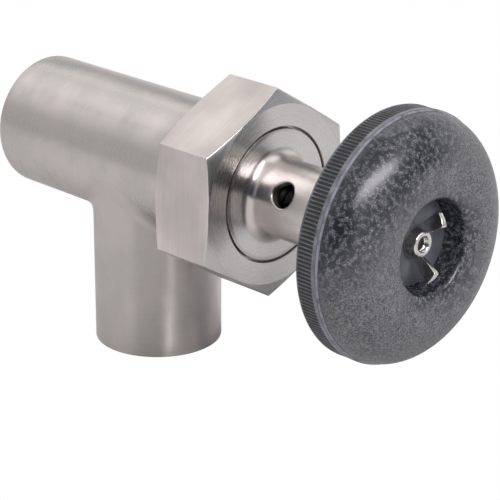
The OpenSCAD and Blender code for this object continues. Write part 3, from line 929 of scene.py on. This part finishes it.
@dataclass
class Union(Assembly):
    """The union: the hex nut, the threaded ferrule that it screws on and the gasket that it clamps."""

    flat_r: float = 25.4
    face_r: float = 24.9
    chamfer: float = 1.26
    turned_by: float = -2.3
    mouth_edge: float = 1.5
    edge_round: float = 0.4
    ferrule_gap: float = 1.8
    thread_pitch: float = 3.0
    thread_depth: float = 0.8
    thread_margin: float = 0.8
    segments: int = 240

    def build(self) -> None:
        """Build and dress the nut and the ferrule, and dress the gasket."""
        self.place(self._nut(), "satin_nut", "union_nut", "satin_nut", "turned_face", sharp=12.0)
        self.place(self._ferrule(), "inner_steel", "threaded_ferrule", "machined_steel")
        self.dress("bonnet_gasket", "pressed_gasket")

    @property
    def corner_r(self) -> float:
        """Radius of the nut's corners."""
        return self.flat_r / math.cos(math.radians(30))

    def _nut(self) -> Piece:
        """The nut, spun with its corners on the steps and then moved out to its flats and chamfers.

        Returns:
            The piece.
        """
        bm = bmesh.new()
        back, face, corner = RUN.nut_back, RUN.nut_face, self.corner_r
        profile = [
            (RUN.lip_r, face, 0.15), (self.face_r, face, 0), (corner, face - self.chamfer, 0),
            (corner, back + self.chamfer, 0), (self.face_r, back, 0), (RUN.union_r + self.mouth_edge, back, 0.2),
            (RUN.union_r, back + self.mouth_edge, 0), (RUN.union_r, RUN.lip_back, 0), (RUN.lip_r, RUN.lip_back, 0),
        ]
        turn(bm, profile, self.segments, step=3, start=30 + self.turned_by)
        for vert in bm.verts:
            radius = math.hypot(vert.co.x, vert.co.z)
            if radius > self.face_r + TOUCH:
                self._to_flat(vert, radius)
        sharp = [e for e in bm.edges if e.calc_face_angle(0.0) > math.radians(CREASE) and self._outer(e)]
        round_off(bm, sharp, self.edge_round, 4)
        for side in bm.faces:
            side.material_index = 1 if abs(side.normal.y) > 0.7 else 0
        return solid(bm, "hex_nut")

    def _outer(self, edge: bmesh.types.BMEdge) -> bool:
        """Whether an edge lies on the nut's outside."""
        return all(math.hypot(v.co.x, v.co.z) > self.face_r + TOUCH for v in edge.verts)

    def _to_flat(self, vert: bmesh.types.BMVert, radius: float) -> None:
        """Move a point of the spun nut onto its flat or chamfer.

        Args:
            vert: The point.
            radius: Its radius as spun, which on the chamfers runs from the face's rim to the corner.
        """
        angle = math.degrees(math.atan2(vert.co.z, vert.co.x)) - self.turned_by
        within = math.radians((angle + 30) % 60 - 30)
        flat = self.flat_r / math.cos(within)
        slope = self.chamfer / (self.corner_r - self.face_r)
        run, back, face = -vert.co.y, RUN.nut_back, RUN.nut_face
        if radius > self.corner_r - TOUCH:
            drop = slope * (flat - self.face_r)
            share = (run - back - self.chamfer) / (face - back - 2 * self.chamfer)
            new, run = flat, back + drop + share * (face - back - 2 * drop)
        else:
            share = (radius - self.face_r) / (self.corner_r - self.face_r)
            new = self.face_r + share * (flat - self.face_r)
            drop = slope * (new - self.face_r)
            run = face - drop if run > (back + face) / 2 else back + drop
        vert.co = Vector((vert.co.x * new / radius, -run, vert.co.z * new / radius))

    def _ferrule(self) -> Piece:
        """The male ferrule on the end of the run tube.

        Returns:
            The piece.
        """
        bm = bmesh.new()
        first, last = RUN.nut_back + self.ferrule_gap, RUN.ferrule_face
        profile = [
            (RUN.tube_r, first, 0.3), (RUN.union_r, first, 0.8), (RUN.union_r, last, 0.8),
            (RUN.machined_r, last, 0.2), (RUN.machined_r, RUN.tube_end, 0), (RUN.tube_r, RUN.tube_end, 0),
        ]
        turn(bm, profile, 144, step=0.35)
        margin = self.thread_margin
        cut_thread(bm, first + margin, last - margin, RUN.union_r, self.thread_depth, self.thread_pitch)
        return solid(bm, "ferrule_ring")


@dataclass
class Bonnet(Assembly):
    """The bonnet: pilot, flange, disc flush with the nut, polished fillet and neck, with its weep hole."""

    gland_r: float = 8.0
    gland_front: float = 100.5
    chamber_r: float = 8.3
    chamber_front: float = 110.6
    thread_bore_r: float = 5.55
    pilot_back: float = 79.6
    pilot_r: float = 17.45
    flange_r: float = 21.425
    boss_r: float = 18.2
    fillet: float = 3.0
    neck_chamfer: float = 0.8
    weep_r: float = 3.5
    weep_lip: float = 0.55
    weep_flare: float = 2.6
    weep_run: float = 105.1
    weep_angle: float = 150.6
    weep_rows: tuple[int, ...] = (15, 30, 45, 60, 75, 90)
    segments: int = 192

    def build(self) -> None:
        """Build and dress the bonnet."""
        piece = self._turned()
        carve(piece, self._weep_drill())
        for face in piece.data.polygons:
            on_face = abs(face.normal.y) > 0.9 and face.center.y < -(RUN.nut_face - 0.3) * MM
            beyond = math.hypot(face.center.x, face.center.z) > (RUN.neck_r + self.fillet) * MM * 0.98
            face.material_index = 1 if on_face and beyond else 0
        self.place(piece, "turned_bonnet", "bonnet", "polished_neck", "turned_face")

    def _turned(self) -> Piece:
        """The bonnet before its weep hole is drilled.

        Returns:
            The piece.
        """
        neck, bore, chamber, front = RUN.neck_r, self.thread_bore_r, self.chamber_r, self.chamber_front
        profile = [
            (self.gland_r, self.pilot_back, 0.3), (self.pilot_r, self.pilot_back, 0.5),
            (self.pilot_r, RUN.flange_back, 0), (self.flange_r, RUN.flange_back, 0.2),
            (self.flange_r, RUN.lip_back, 0.2), (self.boss_r, RUN.lip_back, 0), (self.boss_r, RUN.nut_face, 0.3),
            (neck, RUN.nut_face, self.fillet), (neck, RUN.neck_end, self.neck_chamfer), (bore, RUN.neck_end, 0.6),
            (bore, front, 0), (chamber, front, 0), (chamber, self.gland_front, 0),
            (self.gland_r, self.gland_front, 0),
        ]
        return turned("bonnet_and_neck", profile, self.segments, step=1.2)

    def _weep_point(self, number: int, angle: float) -> Vector:
        """Point of the drill's flared side, whose rim follows the neck, so that both mouths get an even rounding.

        Args:
            number: The point's number, from the pole at one mouth to the pole at the other.
            angle: Its angle round the drill in radians.

        Returns:
            The point.
        """
        rows = self.weep_rows
        side = 1 if number < len(rows) + 2 else -1
        row = number if side > 0 else 2 * len(rows) + 3 - number
        radius, depth = 0.0, -3.0
        if row > 0:
            flare = math.radians(rows[max(row - 2, 0)])
            radius = self.weep_r + self.weep_lip * (1 - math.sin(flare))
            depth = self.weep_lip * (1 - math.cos(flare))
        if row == 1:
            radius, depth = radius + self.weep_flare * math.cos(flare), depth - self.weep_flare * math.sin(flare)
        along, aside = radius * math.cos(angle), radius * math.sin(angle)
        height = side * (math.sqrt(RUN.neck_r**2 - aside**2) - depth)
        tilt = math.radians(self.weep_angle)
        out = Vector((math.cos(tilt), 0, math.sin(tilt)))
        over = Vector((-math.sin(tilt), 0, math.cos(tilt)))
        return out * height + over * aside + Vector((0, along - self.weep_run, 0))

    def _weep_drill(self) -> Piece:
        """The shape that the weep hole takes out of the neck.

        Returns:
            The tool.
        """
        bm = bmesh.new()
        ring_of(bm, 2 * len(self.weep_rows) + 4, 64, self._weep_point, closed=False)
        return solid(bm, "weep_drill")


@dataclass
class ValveDisc(Assembly):
    """The valve's disc: holder, seal, retainer and screw, with its thrust washer and clip."""

    body: Body = Body.DISC
    holder_r: float = 16.2
    holder_rim: float = 2.0
    holder_thick: float = 4.0
    seal_r: float = 15.3
    seal_back: float = 28.1
    holder_seat: float = 32.0
    socket_floor: float = 38.5
    socket_r: float = 7.05
    holder_neck_r: float = 9.25
    holder_front: float = 46.25
    clip_back: float = 43.05
    clip_front: float = 44.25
    clip_r: float = 7.95
    retainer_r: float = 10.0
    retainer_thick: float = 2.0
    screw_r: float = 2.5
    screw_end: float = 36.6
    screw_head_r: float = 4.3
    screw_head: float = 3.1
    screw_slot: tuple[float, ...] = (12, 2.8, 1.2)

    def build(self) -> None:
        """Build and dress the disc's pieces."""
        self.place(self._holder(), "inner_steel", "disc_holder", "machined_steel")
        self.place(self._seal(), "seal_rubber", "seat_seal", "moulded_rubber")
        self.place(self._retainer(), "inner_steel", "seal_retainer", "machined_steel")
        self.place(self._screw(), "inner_steel", "retainer_screw", "machined_steel")
        self.dress("thrust_washer", "sintered_bronze")
        self.dress("stem_clip", "blued_spring")

    def _holder(self) -> Piece:
        """The holder, a cup for the seal with a socket behind it.

        Returns:
            The piece.
        """
        bore, socket, clip = self.screw_r, self.socket_r, self.clip_r
        seat, front = self.holder_seat, self.holder_front
        rim, shoulder = seat - self.holder_rim, seat + self.holder_thick
        profile = [
            (bore, seat, 0), (self.seal_r, seat, 0), (self.seal_r, rim, 0), (self.holder_r, rim, 0.25),
            (self.holder_r, shoulder, 1.0), (self.holder_neck_r, shoulder, 0.6), (self.holder_neck_r, front, 0.5),
            (socket, front, 0.3), (socket, self.clip_front, 0), (clip, self.clip_front, 0),
            (clip, self.clip_back, 0), (socket, self.clip_back, 0), (socket, self.socket_floor, 0),
            (bore, self.socket_floor, 0),
        ]
        return turned("disc_cup", profile)

    def _seal(self) -> Piece:
        """The rubber ring.

        Returns:
            The piece.
        """
        inner, outer, back, front = self.screw_r, self.seal_r, self.seal_back, self.holder_seat
        return turned("seal_ring", [(inner, back, 0), (outer, back, 0.6), (outer, front, 0), (inner, front, 0)])

    def _retainer(self) -> Piece:
        """The dished washer that clamps the seal.

        Returns:
            The piece.
        """
        inner, outer, front = self.screw_r, self.retainer_r, self.seal_back
        back = front - self.retainer_thick
        profile = [(inner, back, 0), (outer, back, 1.0), (outer, front, 0), (inner, front, 0)]
        return turned("retainer_dish", profile, 96)

    def _screw(self) -> Piece:
        """The slotted screw.

        Returns:
            The piece.
        """
        under = self.seal_back - self.retainer_thick
        top, end, shank, head = under - self.screw_head, self.screw_end, self.screw_r, self.screw_head_r
        profile = [
            (0, top, 0), (head, top, 0.5), (head, under, 0), (shank, under, 0), (shank, end, 0.4), (0, end, 0),
        ]
        screw = turned("slotted_screw", profile, 64)
        slot = bmesh.new()
        bmesh.ops.create_cube(slot, size=1.0)
        bmesh.ops.scale(slot, vec=self.screw_slot, verts=slot.verts)
        bmesh.ops.translate(slot, verts=slot.verts, vec=(0, -top, 0))
        carve(screw, solid(slot, "slot_cutter"))
        return screw


@dataclass
class Stem(Assembly):
    """The stem: button, shank, land with its O-rings, two-start screw, driving square and stud."""

    body: Body = Body.STEM
    button_back: float = 39.45
    button_front: float = 42.95
    button_r: float = 7.0
    shank_r: float = 4.9
    land_back: float = 79.6
    land_front: float = 87.8
    land_r: float = 7.95
    groove_r: float = 6.19
    groove_width: float = 2.314
    front_oring: float = 85.843
    oring_pitch: float = 4.0
    thread_back: float = 97.9
    thread_ease: float = 0.6
    thread_r: float = 5.5
    thread_depth: float = 0.95
    pitch: float = 2.54
    square: float = 7.0
    square_front: float = 137.5
    stud_r: float = 2.0
    stud_end: float = 143.8
    stud_ease: float = 0.4
    stud_depth: float = 0.35
    stud_pitch: float = 0.7

    def build(self) -> None:
        """Build and dress the stem, and dress its O-rings."""
        self.place(self._stem(), "stem_steel", "stem", "greased_stem")
        self.dress("rear_oring", "moulded_rubber")
        self.dress("front_oring", "moulded_rubber")

    def _grooves(self) -> list[Corner]:
        """Corners of the land's two grooves.

        Returns:
            The corners, from the kettle's side to the knob's.
        """
        half = self.groove_width / 2
        corners: list[Corner] = []
        for centre in (self.front_oring - self.oring_pitch, self.front_oring):
            corners += [(self.land_r, centre - half, 0.1), (self.groove_r, centre - half, 0)]
            corners += [(self.groove_r, centre + half, 0), (self.land_r, centre + half, 0.1)]
        return corners

    def _stem(self) -> Piece:
        """The stem as one bar: turned, threaded, and its end milled square with the stud beyond.

        Returns:
            The piece.
        """
        bm = bmesh.new()
        seat, half, corner = RUN.knob_seat, self.square / 2, self.square / math.sqrt(2)
        shank, land, crest, stud = self.shank_r, self.land_r, self.thread_r, self.stud_r
        thread = self.thread_back + self.thread_ease
        profile = [
            (0, self.button_back, 0), (self.button_r, self.button_back, 0.5),
            (self.button_r, self.button_front, 0.2), (shank, self.button_front, 0),
            (shank, self.land_back, 0), (land, self.land_back, 0.5),
            *self._grooves(), (land, self.land_front, 0.3), (shank, self.land_front, 0),
            (shank, self.thread_back, 0), (crest, thread, 0), (crest, seat, 0), (corner, seat, 0),
            (corner, self.square_front, 0), (stud, self.square_front, 0), (stud, self.stud_end, self.stud_ease),
            (0, self.stud_end, 0),
        ]
        turn(bm, profile, 64, step=0.22)
        cut_thread(bm, thread, seat, crest, self.thread_depth, self.pitch, starts=2)
        cut_thread(bm, self.square_front, self.stud_end - self.stud_ease, stud, self.stud_depth, self.stud_pitch)
        for vert in bm.verts:
            run, radius = -vert.co.y, math.hypot(vert.co.x, vert.co.z)
            if seat + TOUCH < run < self.square_front + TOUCH and radius > half - TOUCH:
                vert.co.x = max(-half, min(half, vert.co.x))
                vert.co.z = max(-half, min(half, vert.co.z))
        return solid(bm, "screw_stem")


@dataclass
class Knob(Assembly):
    """The moulded knob: a domed shell with hub and webs behind, a band of ribs, a washer and its insert."""

    body: Body = Body.STEM
    rim_r: float = 33.35
    rim_back: float = 132.8
    rim_front: float = 139.1
    rib_count: int = 198
    rib_depth: float = 0.42
    rib_step: float = 0.06
    rib_bed_r: float = 32.37
    rib_runout: float = 0.6
    back_edge: float = 0.5
    front_edge: float = 1.1
    chamfer: float = 0.65
    band: float = 0.6
    dome_height: float = 9.1
    dome_slope: float = 12.0
    dome_lean: float = 1.2
    mouth_r: float = 12.4
    mouth_round: float = 1.6
    mouth_fall: float = 0.4
    floor_r: float = 12.2
    washer_thick: float = 0.8
    washer_gap: float = 0.3
    hub_r: float = 11.0
    cup_wall: float = 3.0
    shell_wall: float = 4.0
    insert_r: float = 7.0
    insert_front: float = 138.0
    stud_hole_r: float = 2.05
    web_count: int = 6
    web_thick: float = 2.4
    web_back: float = 135.3
    web_bite: float = 0.6
    segments: int = 192

    @property
    def band_r(self) -> float:
        """Radius of the straight band in front of the chamfer."""
        return self.rim_r - self.chamfer

    @property
    def dome_back(self) -> float:
        """Where the dome begins."""
        return self.rim_front + self.chamfer + self.band

    @property
    def crest_r(self) -> float:
        """Radius of the dome's crest."""
        return self.band_r - self.dome_slope

    @property
    def crest(self) -> float:
        """Where the dome's crest stands."""
        return self.dome_back + self.dome_height

    def build(self) -> None:
        """Build and dress the knob's pieces."""
        skins = "moulded_phenolic", "ground_parting_line", "handled_phenolic"
        self.place(self._shell(), "phenolic", "knob", *skins)
        self.place(self._ribs(), "phenolic", "knob", "handled_phenolic", sharp=60.0)
        self.place(self._washer(), "dark_washer", "knob_washer", "dark_washer")
        self.dress("knob_insert", "machined_steel")

    def _shell(self) -> Piece:
        """The shell with its webs, without the ribs.

        Returns:
            The piece.
        """
        bm = bmesh.new()
        inner, cup = self.band_r - self.shell_wall, self.mouth_r + self.cup_wall
        cup_back, hollow = RUN.recess_floor - self.cup_wall, self.dome_height - self.shell_wall
        rim, hole, insert, bed = self.rim_r, self.stud_hole_r, self.insert_r, self.rib_bed_r
        back, front, seat, floor = self.rim_back, self.rim_front, RUN.knob_seat, RUN.recess_floor
        first, last = back + self.back_edge, front - self.front_edge
        lip = (self.mouth_r + self.mouth_round, self.crest - self.mouth_fall - self.mouth_round)
        profile = [
            (hole, floor, 0), (hole, self.insert_front, 0), (insert, self.insert_front, 0), (insert, seat, 0.3),
            (self.hub_r, seat, 0.8), (self.hub_r, cup_back, 0.8), (cup, cup_back, 0.5),
            *arc((self.crest_r, self.dome_back), inner - self.crest_r, hollow, 115, 0, 16),
            (inner, back, 0.5), (rim, back, 0.4), (rim, first, 0), (bed, first, 0), (bed, last, 0), (rim, last, 0),
            (rim, front, 0.1), (self.band_r, front + self.chamfer, 0.1), (self.band_r, self.dome_back, 0),
            *self._dome(32)[1:], *arc(lip, self.mouth_round, self.mouth_round, 90, 180, 10),
            (self.floor_r, floor, 0.5),
        ]
        turn(bm, profile, self.segments)
        self._mark_faces(bm)
        self._webs(bm)
        return solid(bm, "domed_shell")

    def _dome(self, steps: int) -> list[Corner]:
        """Corners up the dome, from the band to the crest, with a leaner shoulder than an ellipse has.

        Args:
            steps: Steps from the band to the crest.

        Returns:
            The corners.
        """
        corners = []
        for i in range(steps + 1):
            angle = math.radians(90 * i / steps)
            across, up = max(0.0, math.cos(angle)) ** self.dome_lean, math.sin(angle) ** self.dome_lean
            corners.append((self.crest_r + self.dome_slope * across, self.dome_back + self.dome_height * up, 0.0))
        return corners

    def _mark_faces(self, bm: BMesh) -> None:
        """Number the shell's faces by finish: the ground chamfer, and the rim that hands hold.

        Args:
            bm: The shell.
        """
        for face in bm.faces:
            middle = face.calc_center_median()
            run, radius = -middle.y, math.hypot(middle.x, middle.z)
            if self.rim_front < run < self.rim_front + self.chamfer and radius > self.band_r - 0.1:
                face.material_index = 1
            elif run < self.rim_front and radius > self.band_r:
                face.material_index = 2

    def _webs(self, bm: BMesh) -> None:
        """Add the webs between the hub and the shell, moulded with it.

        Args:
            bm: The shell.
        """
        bite, depth = self.web_bite, self.dome_height - self.shell_wall + 0.4
        hub, outer = self.hub_r - bite, self.band_r - self.shell_wall + bite
        cup = self.mouth_r + self.cup_wall - 0.8
        under = arc((self.crest_r, self.dome_back), outer - self.crest_r, depth, 0, 90, 8)
        outline = [(hub, self.web_back), (outer, self.web_back), *[(radius, run) for radius, run, _ in under]]
        outline += [(cup, self.dome_back + depth), (cup, RUN.recess_floor - 2), (hub, RUN.recess_floor - 2)]
        for i in range(self.web_count):
            swing(bm, polygon_plate(bm, outline, self.web_thick, 0.35), 360 * i / self.web_count)

    def _ribs(self) -> Piece:
        """The band of ribs round the rim, each valley running out at both ends.

        Returns:
            The piece.
        """
        bm = bmesh.new()
        first, last = self.rim_back + self.back_edge, self.rim_front - self.front_edge
        edges = (0, 0.02, 0.3, 0.7)
        rows = [*[first + edge for edge in edges], (first + last) / 2, *[last - edge for edge in reversed(edges)]]

        def point(number: int, angle: float) -> Vector:
            """Place of a point of the band.

            Args:
                number: Its row's number.
                angle: Its angle round the run in radians.

            Returns:
                The place.
            """
            run, radius = rows[number], self.rib_bed_r - 0.1
            if 0 < number < len(rows) - 1:
                fade = min(1.0, (run - first) / self.rib_runout + 0.25, (last - run) / self.rib_runout + 0.25)
                valley = (0.5 - 0.5 * math.cos(self.rib_count * angle)) ** 0.8
                radius = self.rim_r - self.rib_step - self.rib_depth * valley * fade
            return Vector((radius * math.cos(angle), -run, radius * math.sin(angle)))

        ring_of(bm, len(rows), self.rib_count * 6, point)
        return solid(bm, "rib_band")

    def _washer(self) -> Piece:
        """The washer on the recess floor.

        Returns:
            The piece.
        """
        hole, outer, floor = self.stud_hole_r, self.floor_r - self.washer_gap, RUN.recess_floor
        top = floor + self.washer_thick
        return turned("recess_washer", [(hole, floor, 0), (outer, floor, 0), (outer, top, 0.2), (hole, top, 0)], 96)


@dataclass
class WingNut(Assembly):
    """The small wing nut: a coned boss with a tapped hole and two wings, cast and plated bright."""

    body: Body = Body.STEM
    back: float = 142.2
    face: float = 145.3
    base_r: float = 4.4
    face_r: float = 3.3
    tip_r: float = 9.3
    tip_round: float = 0.8
    front_corner_r: float = 6.2
    corner_round: float = 0.6
    rise: float = 5.5
    root_thick: float = 1.0
    tip_thick: float = 1.75
    edge_round: float = 0.22
    angle: float = 79.0
    hole_r: float = 2.02
    thread_depth: float = 0.32
    pitch: float = 0.7

    def build(self) -> None:
        """Build and dress the wing nut."""
        nut = self._boss()
        for side in (0, 180):
            carve(nut, self._wing(self.angle + side), "UNION")
        self.place(nut, "bright_steel", "wing_nut", "bright_plate", sharp=50.0)

    def _boss(self) -> Piece:
        """The boss with its tapped hole.

        Returns:
            The piece.
        """
        bm = bmesh.new()
        hole, base, back, face = self.hole_r, self.base_r, self.back, self.face
        profile = [
            (hole, back, 0), (base, back, 0.15), (base, back + 0.6, 0.3), (self.face_r, face, 0.3),
            (hole + 0.25, face, 0.08), (hole, face - 0.3, 0),
        ]
        turn(bm, profile, 72, step=0.12)
        cut_thread(bm, back, face - 0.3, hole, self.thread_depth, self.pitch)
        return solid(bm, "bright_wing_nut")

    def _wing(self, angle: float) -> Piece:
        """One wing.

        Args:
            angle: Where it points, from +X towards +Z, in degrees.

        Returns:
            The wing.
        """
        bm = bmesh.new()
        tip, face, rise, foot = self.tip_r, self.face, self.rise, self.back + 0.3
        tip_round, corner_round = self.tip_round, self.corner_round
        corners = [
            (self.face_r - 0.6, foot, 0), (self.base_r - 0.2, foot, 0),
            *arc((tip - tip_round, face + rise * 0.58), tip_round, tip_round, -36, 50, 4),
            (tip - 1.7, face + rise * 0.89, 0),
            *arc((self.front_corner_r, face + rise - corner_round), corner_round, corner_round, 64, 145, 4),
            (self.face_r + 0.6, face + rise * 0.42, 0), (self.face_r - 0.6, face - 0.2, 0),
        ]
        # One millimetre thick, so that each point's share of it can be scaled to the wing's real thickness.
        wing = polygon_plate(bm, [(radius, run) for radius, run, _ in corners], 1.0, self.edge_round)
        for vert in wing:
            share = min(1.0, max(0.0, (-vert.co.y - face) / rise))
            vert.co.z *= self.root_thick + (self.tip_thick - self.root_thick) * share
        swing(bm, wing, -angle)
        return solid(bm, "wing")


# ---- studio


@dataclass(frozen=True)
class Panel:
    """A soft bright or dark area of the studio's walls, as polished metal sees it."""

    azimuth: float
    elevation: float
    inner: float
    outer: float
    level: float

    @property
    def direction(self) -> Vector:
        """Direction of the panel's middle, from the faucet."""
        return heading(self.azimuth, self.elevation)


@dataclass(frozen=True)
class Strip:
    """A long light or dark area that runs beside the faucet, parallel to its run, as the tube's streaks show."""

    angle: float
    inner: float
    outer: float
    level: float

    @property
    def direction(self) -> Vector:
        """Direction of the strip's middle across the run."""
        return Vector((math.cos(math.radians(self.angle)), 0, math.sin(math.radians(self.angle))))


def heading(azimuth: float, elevation: float) -> Vector:
    """Unit vector at an azimuth from -Y towards +X and an elevation, in degrees."""
    a, e = math.radians(azimuth), math.radians(elevation)
    return Vector((math.sin(a) * math.cos(e), -math.cos(a) * math.cos(e), math.sin(e)))


def mix_panels(
    tree: bpy.types.NodeTree, outward: Socket, level: Socket | float, panels: Iterable[Panel | Strip]
) -> Socket:
    """Brightness in a direction, with panels mixed in one after another.

    Args:
        tree: The node tree to work in.
        outward: The direction, as a unit vector.
        level: The brightness where there is no panel.
        panels: The panels, the last of them on top.

    Returns:
        The brightness.
    """
    for panel in panels:
        facing = add_node(tree, "VectorMath", (outward, panel.direction), "Value", operation="DOT_PRODUCT")
        reach = (math.cos(math.radians(angle)) for angle in (panel.outer, panel.inner))
        share = add_node(tree, "MapRange", (facing, *reach), interpolation_type="SMOOTHSTEP")
        level = add_node(tree, "Mix", {0: share, 2: level, 3: panel.level})
    return level


@dataclass
class Studio:
    """The camera of the photograph, a pale floor and plain soft light."""

    camera_at: tuple[float, ...] = (-357.66, -439.44, 178.24)
    azimuth: float = -45.19
    elevation: float = 21.32
    roll: float = 0.31
    lens: float = 142.52
    floor_drop: float = 55.0
    floor_size: float = 4000.0
    ambient: float = 0.76
    cast_from: float = 0.12
    cast_to: float = 0.58
    shadow_cast: str = "#aebbe6"
    white: str = "#ffffff"
    lamp_tint: str = "#fcf8ff"
    lamp_towards: tuple[float, float] = (-9, 35)
    lamp_distance: float = 0.9
    lamp_size: tuple[float, float] = (0.7, 0.24)
    lamp_watts: float = 4.8
    lamp_aim: tuple[float, ...] = (0, -0.08, 0)
    panels: tuple[Panel, ...] = (
        Panel(-132, 3, 5, 20, 0.66),
        Panel(-58, 8, 16, 38, 0.1),
        Panel(42, 6, 8, 24, 0.4),
        Panel(-18, 8, 3, 9, 1.6),
        Panel(-166, 60, 6, 20, 1.4),
    )
    strips: tuple[Strip, ...] = (
        Strip(16, 4, 14, 1.05),
        Strip(41, 3, 9, 0.4),
        Strip(65, 8, 13, 1.3),
        Strip(88, 3, 8, 0.62),
        Strip(126, 14, 30, 0.83),
        Strip(172, 8, 36, 0.7),
    )
    paper: float = 0.74
    # Painted light and shade on the floor, as the metal reflects it: a dark patch for the shade under the knob and
    # nut, a darker patch on the camera's side, and a bright strip that the outlet shows as a streak.
    painted_floor_patches: tuple[Panel, ...] = (
        Panel(38, 0, 14, 42, 0.35),
        Panel(-104, -23, 10, 30, 0.6),
        Panel(-19, 0, 2, 9, 0.95),
    )
    painted_patch_reach: float = 75.0

    def build(self) -> None:
        """Set up the studio."""
        for part in (self._camera, self._floor, self._walls, self._lamp):
            part()
        bpy.context.scene.view_settings.view_transform = "Standard"

    def _camera(self) -> None:
        """Stand the camera where the photograph was taken from, level but for its slight roll."""
        back = heading(self.azimuth, self.elevation)
        a, r = math.radians(self.azimuth), math.radians(self.roll)
        right = Vector((math.cos(a), math.sin(a), 0))
        up = back.cross(right)
        columns = (right * math.cos(r) + up * math.sin(r), up * math.cos(r) - right * math.sin(r), back)
        data = bpy.data.cameras.new("photo_camera")
        data.lens, data.sensor_width, data.clip_start, data.clip_end = self.lens, 36.0, 0.01, 50.0
        camera = bpy.data.objects.new("photo_camera", data)
        turned_to = Matrix(columns).transposed().to_4x4()
        camera.matrix_world = Matrix.Translation(Vector(self.camera_at) * MM) @ turned_to
        bpy.context.scene.collection.objects.link(camera)
        bpy.context.scene.camera = camera

    def _floor(self) -> None:
        """Lay a wide pale floor, white to the camera, with painted light and shade near the faucet, as darker and
        brighter patches in what reflects it.
        """
        bm = bmesh.new()
        bmesh.ops.create_grid(bm, x_segments=1, y_segments=1, size=self.floor_size)
        bmesh.ops.translate(bm, verts=bm.verts, vec=(0, 0, -self.floor_drop))
        floor = solid(bm, "studio_floor")
        s = Surface("pale_floor")
        under = s.node("VectorMath", (s.place, (0, RUN.outlet * MM, 0)))
        flat = s.node("VectorMath", (under, (1, 1, 0)), operation="MULTIPLY")
        outward = s.node("VectorMath", (flat,), operation="NORMALIZE")
        away = s.node("VectorMath", (flat,), "Value", operation="LENGTH")
        # Painted light and shade: the patches near the faucet fade out to the even paper further away.
        past = s.node("MapRange", (away, self.painted_patch_reach * MM, 2 * self.painted_patch_reach * MM))
        near = mix_panels(s.tree, outward, self.paper, self.painted_floor_patches)
        s.set(Roughness=1.0, Specular_IOR_Level=0.0, Base_Color=s.node("Mix", {0: past, 2: near, 3: self.paper}))
        glow = s.node("Emission", (linear(self.white), 1.0))
        below = s.node("NewGeometry", out="Backfacing")
        paper = s.node("MixShader", (below, glow, s.node("BsdfTransparent")))
        seen = s.node("LightPath", out="Is Camera Ray")
        shown = s.node("MixShader", (seen, s.shader.outputs[0], paper))
        fill(s.tree, s.tree.nodes["Material Output"], {"Surface": shown})
        floor.data.materials.append(s.material)

    def _walls(self) -> None:
        """Light the faucet from all round: white to the camera, and with a cool cast where the walls are dark."""
        world = bpy.data.worlds.new("studio_walls")
        world.use_nodes = True
        bpy.context.scene.world = world
        tree = world.node_tree
        outward = add_node(tree, "TexCoord", out="Generated")
        beside = add_node(tree, "VectorMath", (outward, (1, 0, 1)), operation="MULTIPLY")
        across = add_node(tree, "VectorMath", (beside,), operation="NORMALIZE")
        walls = mix_panels(tree, outward, mix_panels(tree, across, self.ambient, self.strips), self.panels)
        seen = add_node(tree, "LightPath", out="Is Camera Ray")
        level = add_node(tree, "Mix", {0: seen, 2: walls, 3: 1.0})
        dim = add_node(tree, "MapRange", (level, self.cast_from, self.cast_to))
        colours = {0: dim, 6: linear(self.shadow_cast), 7: linear(self.white)}
        cast = add_node(tree, "Mix", colours, 2, data_type="RGBA")
        fill(tree, tree.nodes["Background"], {"Color": cast, "Strength": level})

    def _lamp(self) -> None:
        """Hang a wide soft box that faces the faucet."""
        data = bpy.data.lights.new("key_light", "AREA")
        data.shape, data.energy, data.color = "ELLIPSE", self.lamp_watts, linear(self.lamp_tint)[:3]
        data.size, data.size_y = self.lamp_size
        lamp = bpy.data.objects.new("key_light", data)
        towards = heading(*self.lamp_towards)
        place_at = Matrix.Translation(Vector(self.lamp_aim) + towards * self.lamp_distance)
        lamp.matrix_world = place_at @ towards.to_track_quat("Z", "Y").to_matrix().to_4x4()
        lamp.visible_camera = False
        bpy.context.scene.collection.objects.link(lamp)


def main() -> None:
    """Dress the whole faucet and note how large the result is."""
    logging.basicConfig(level=logging.INFO, format="%(name)s: %(message)s")
    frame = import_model()
    Studio().build()
    finishes = {finish.name: finish.make() for finish in FINISHES}
    log.info("finishes made")
    for assembly in (TeeBody, Union, Bonnet, ValveDisc, Stem, Knob, WingNut):
        assembly(finishes, frame["nodes"]).build()


if __name__ == "__main__":
    main()
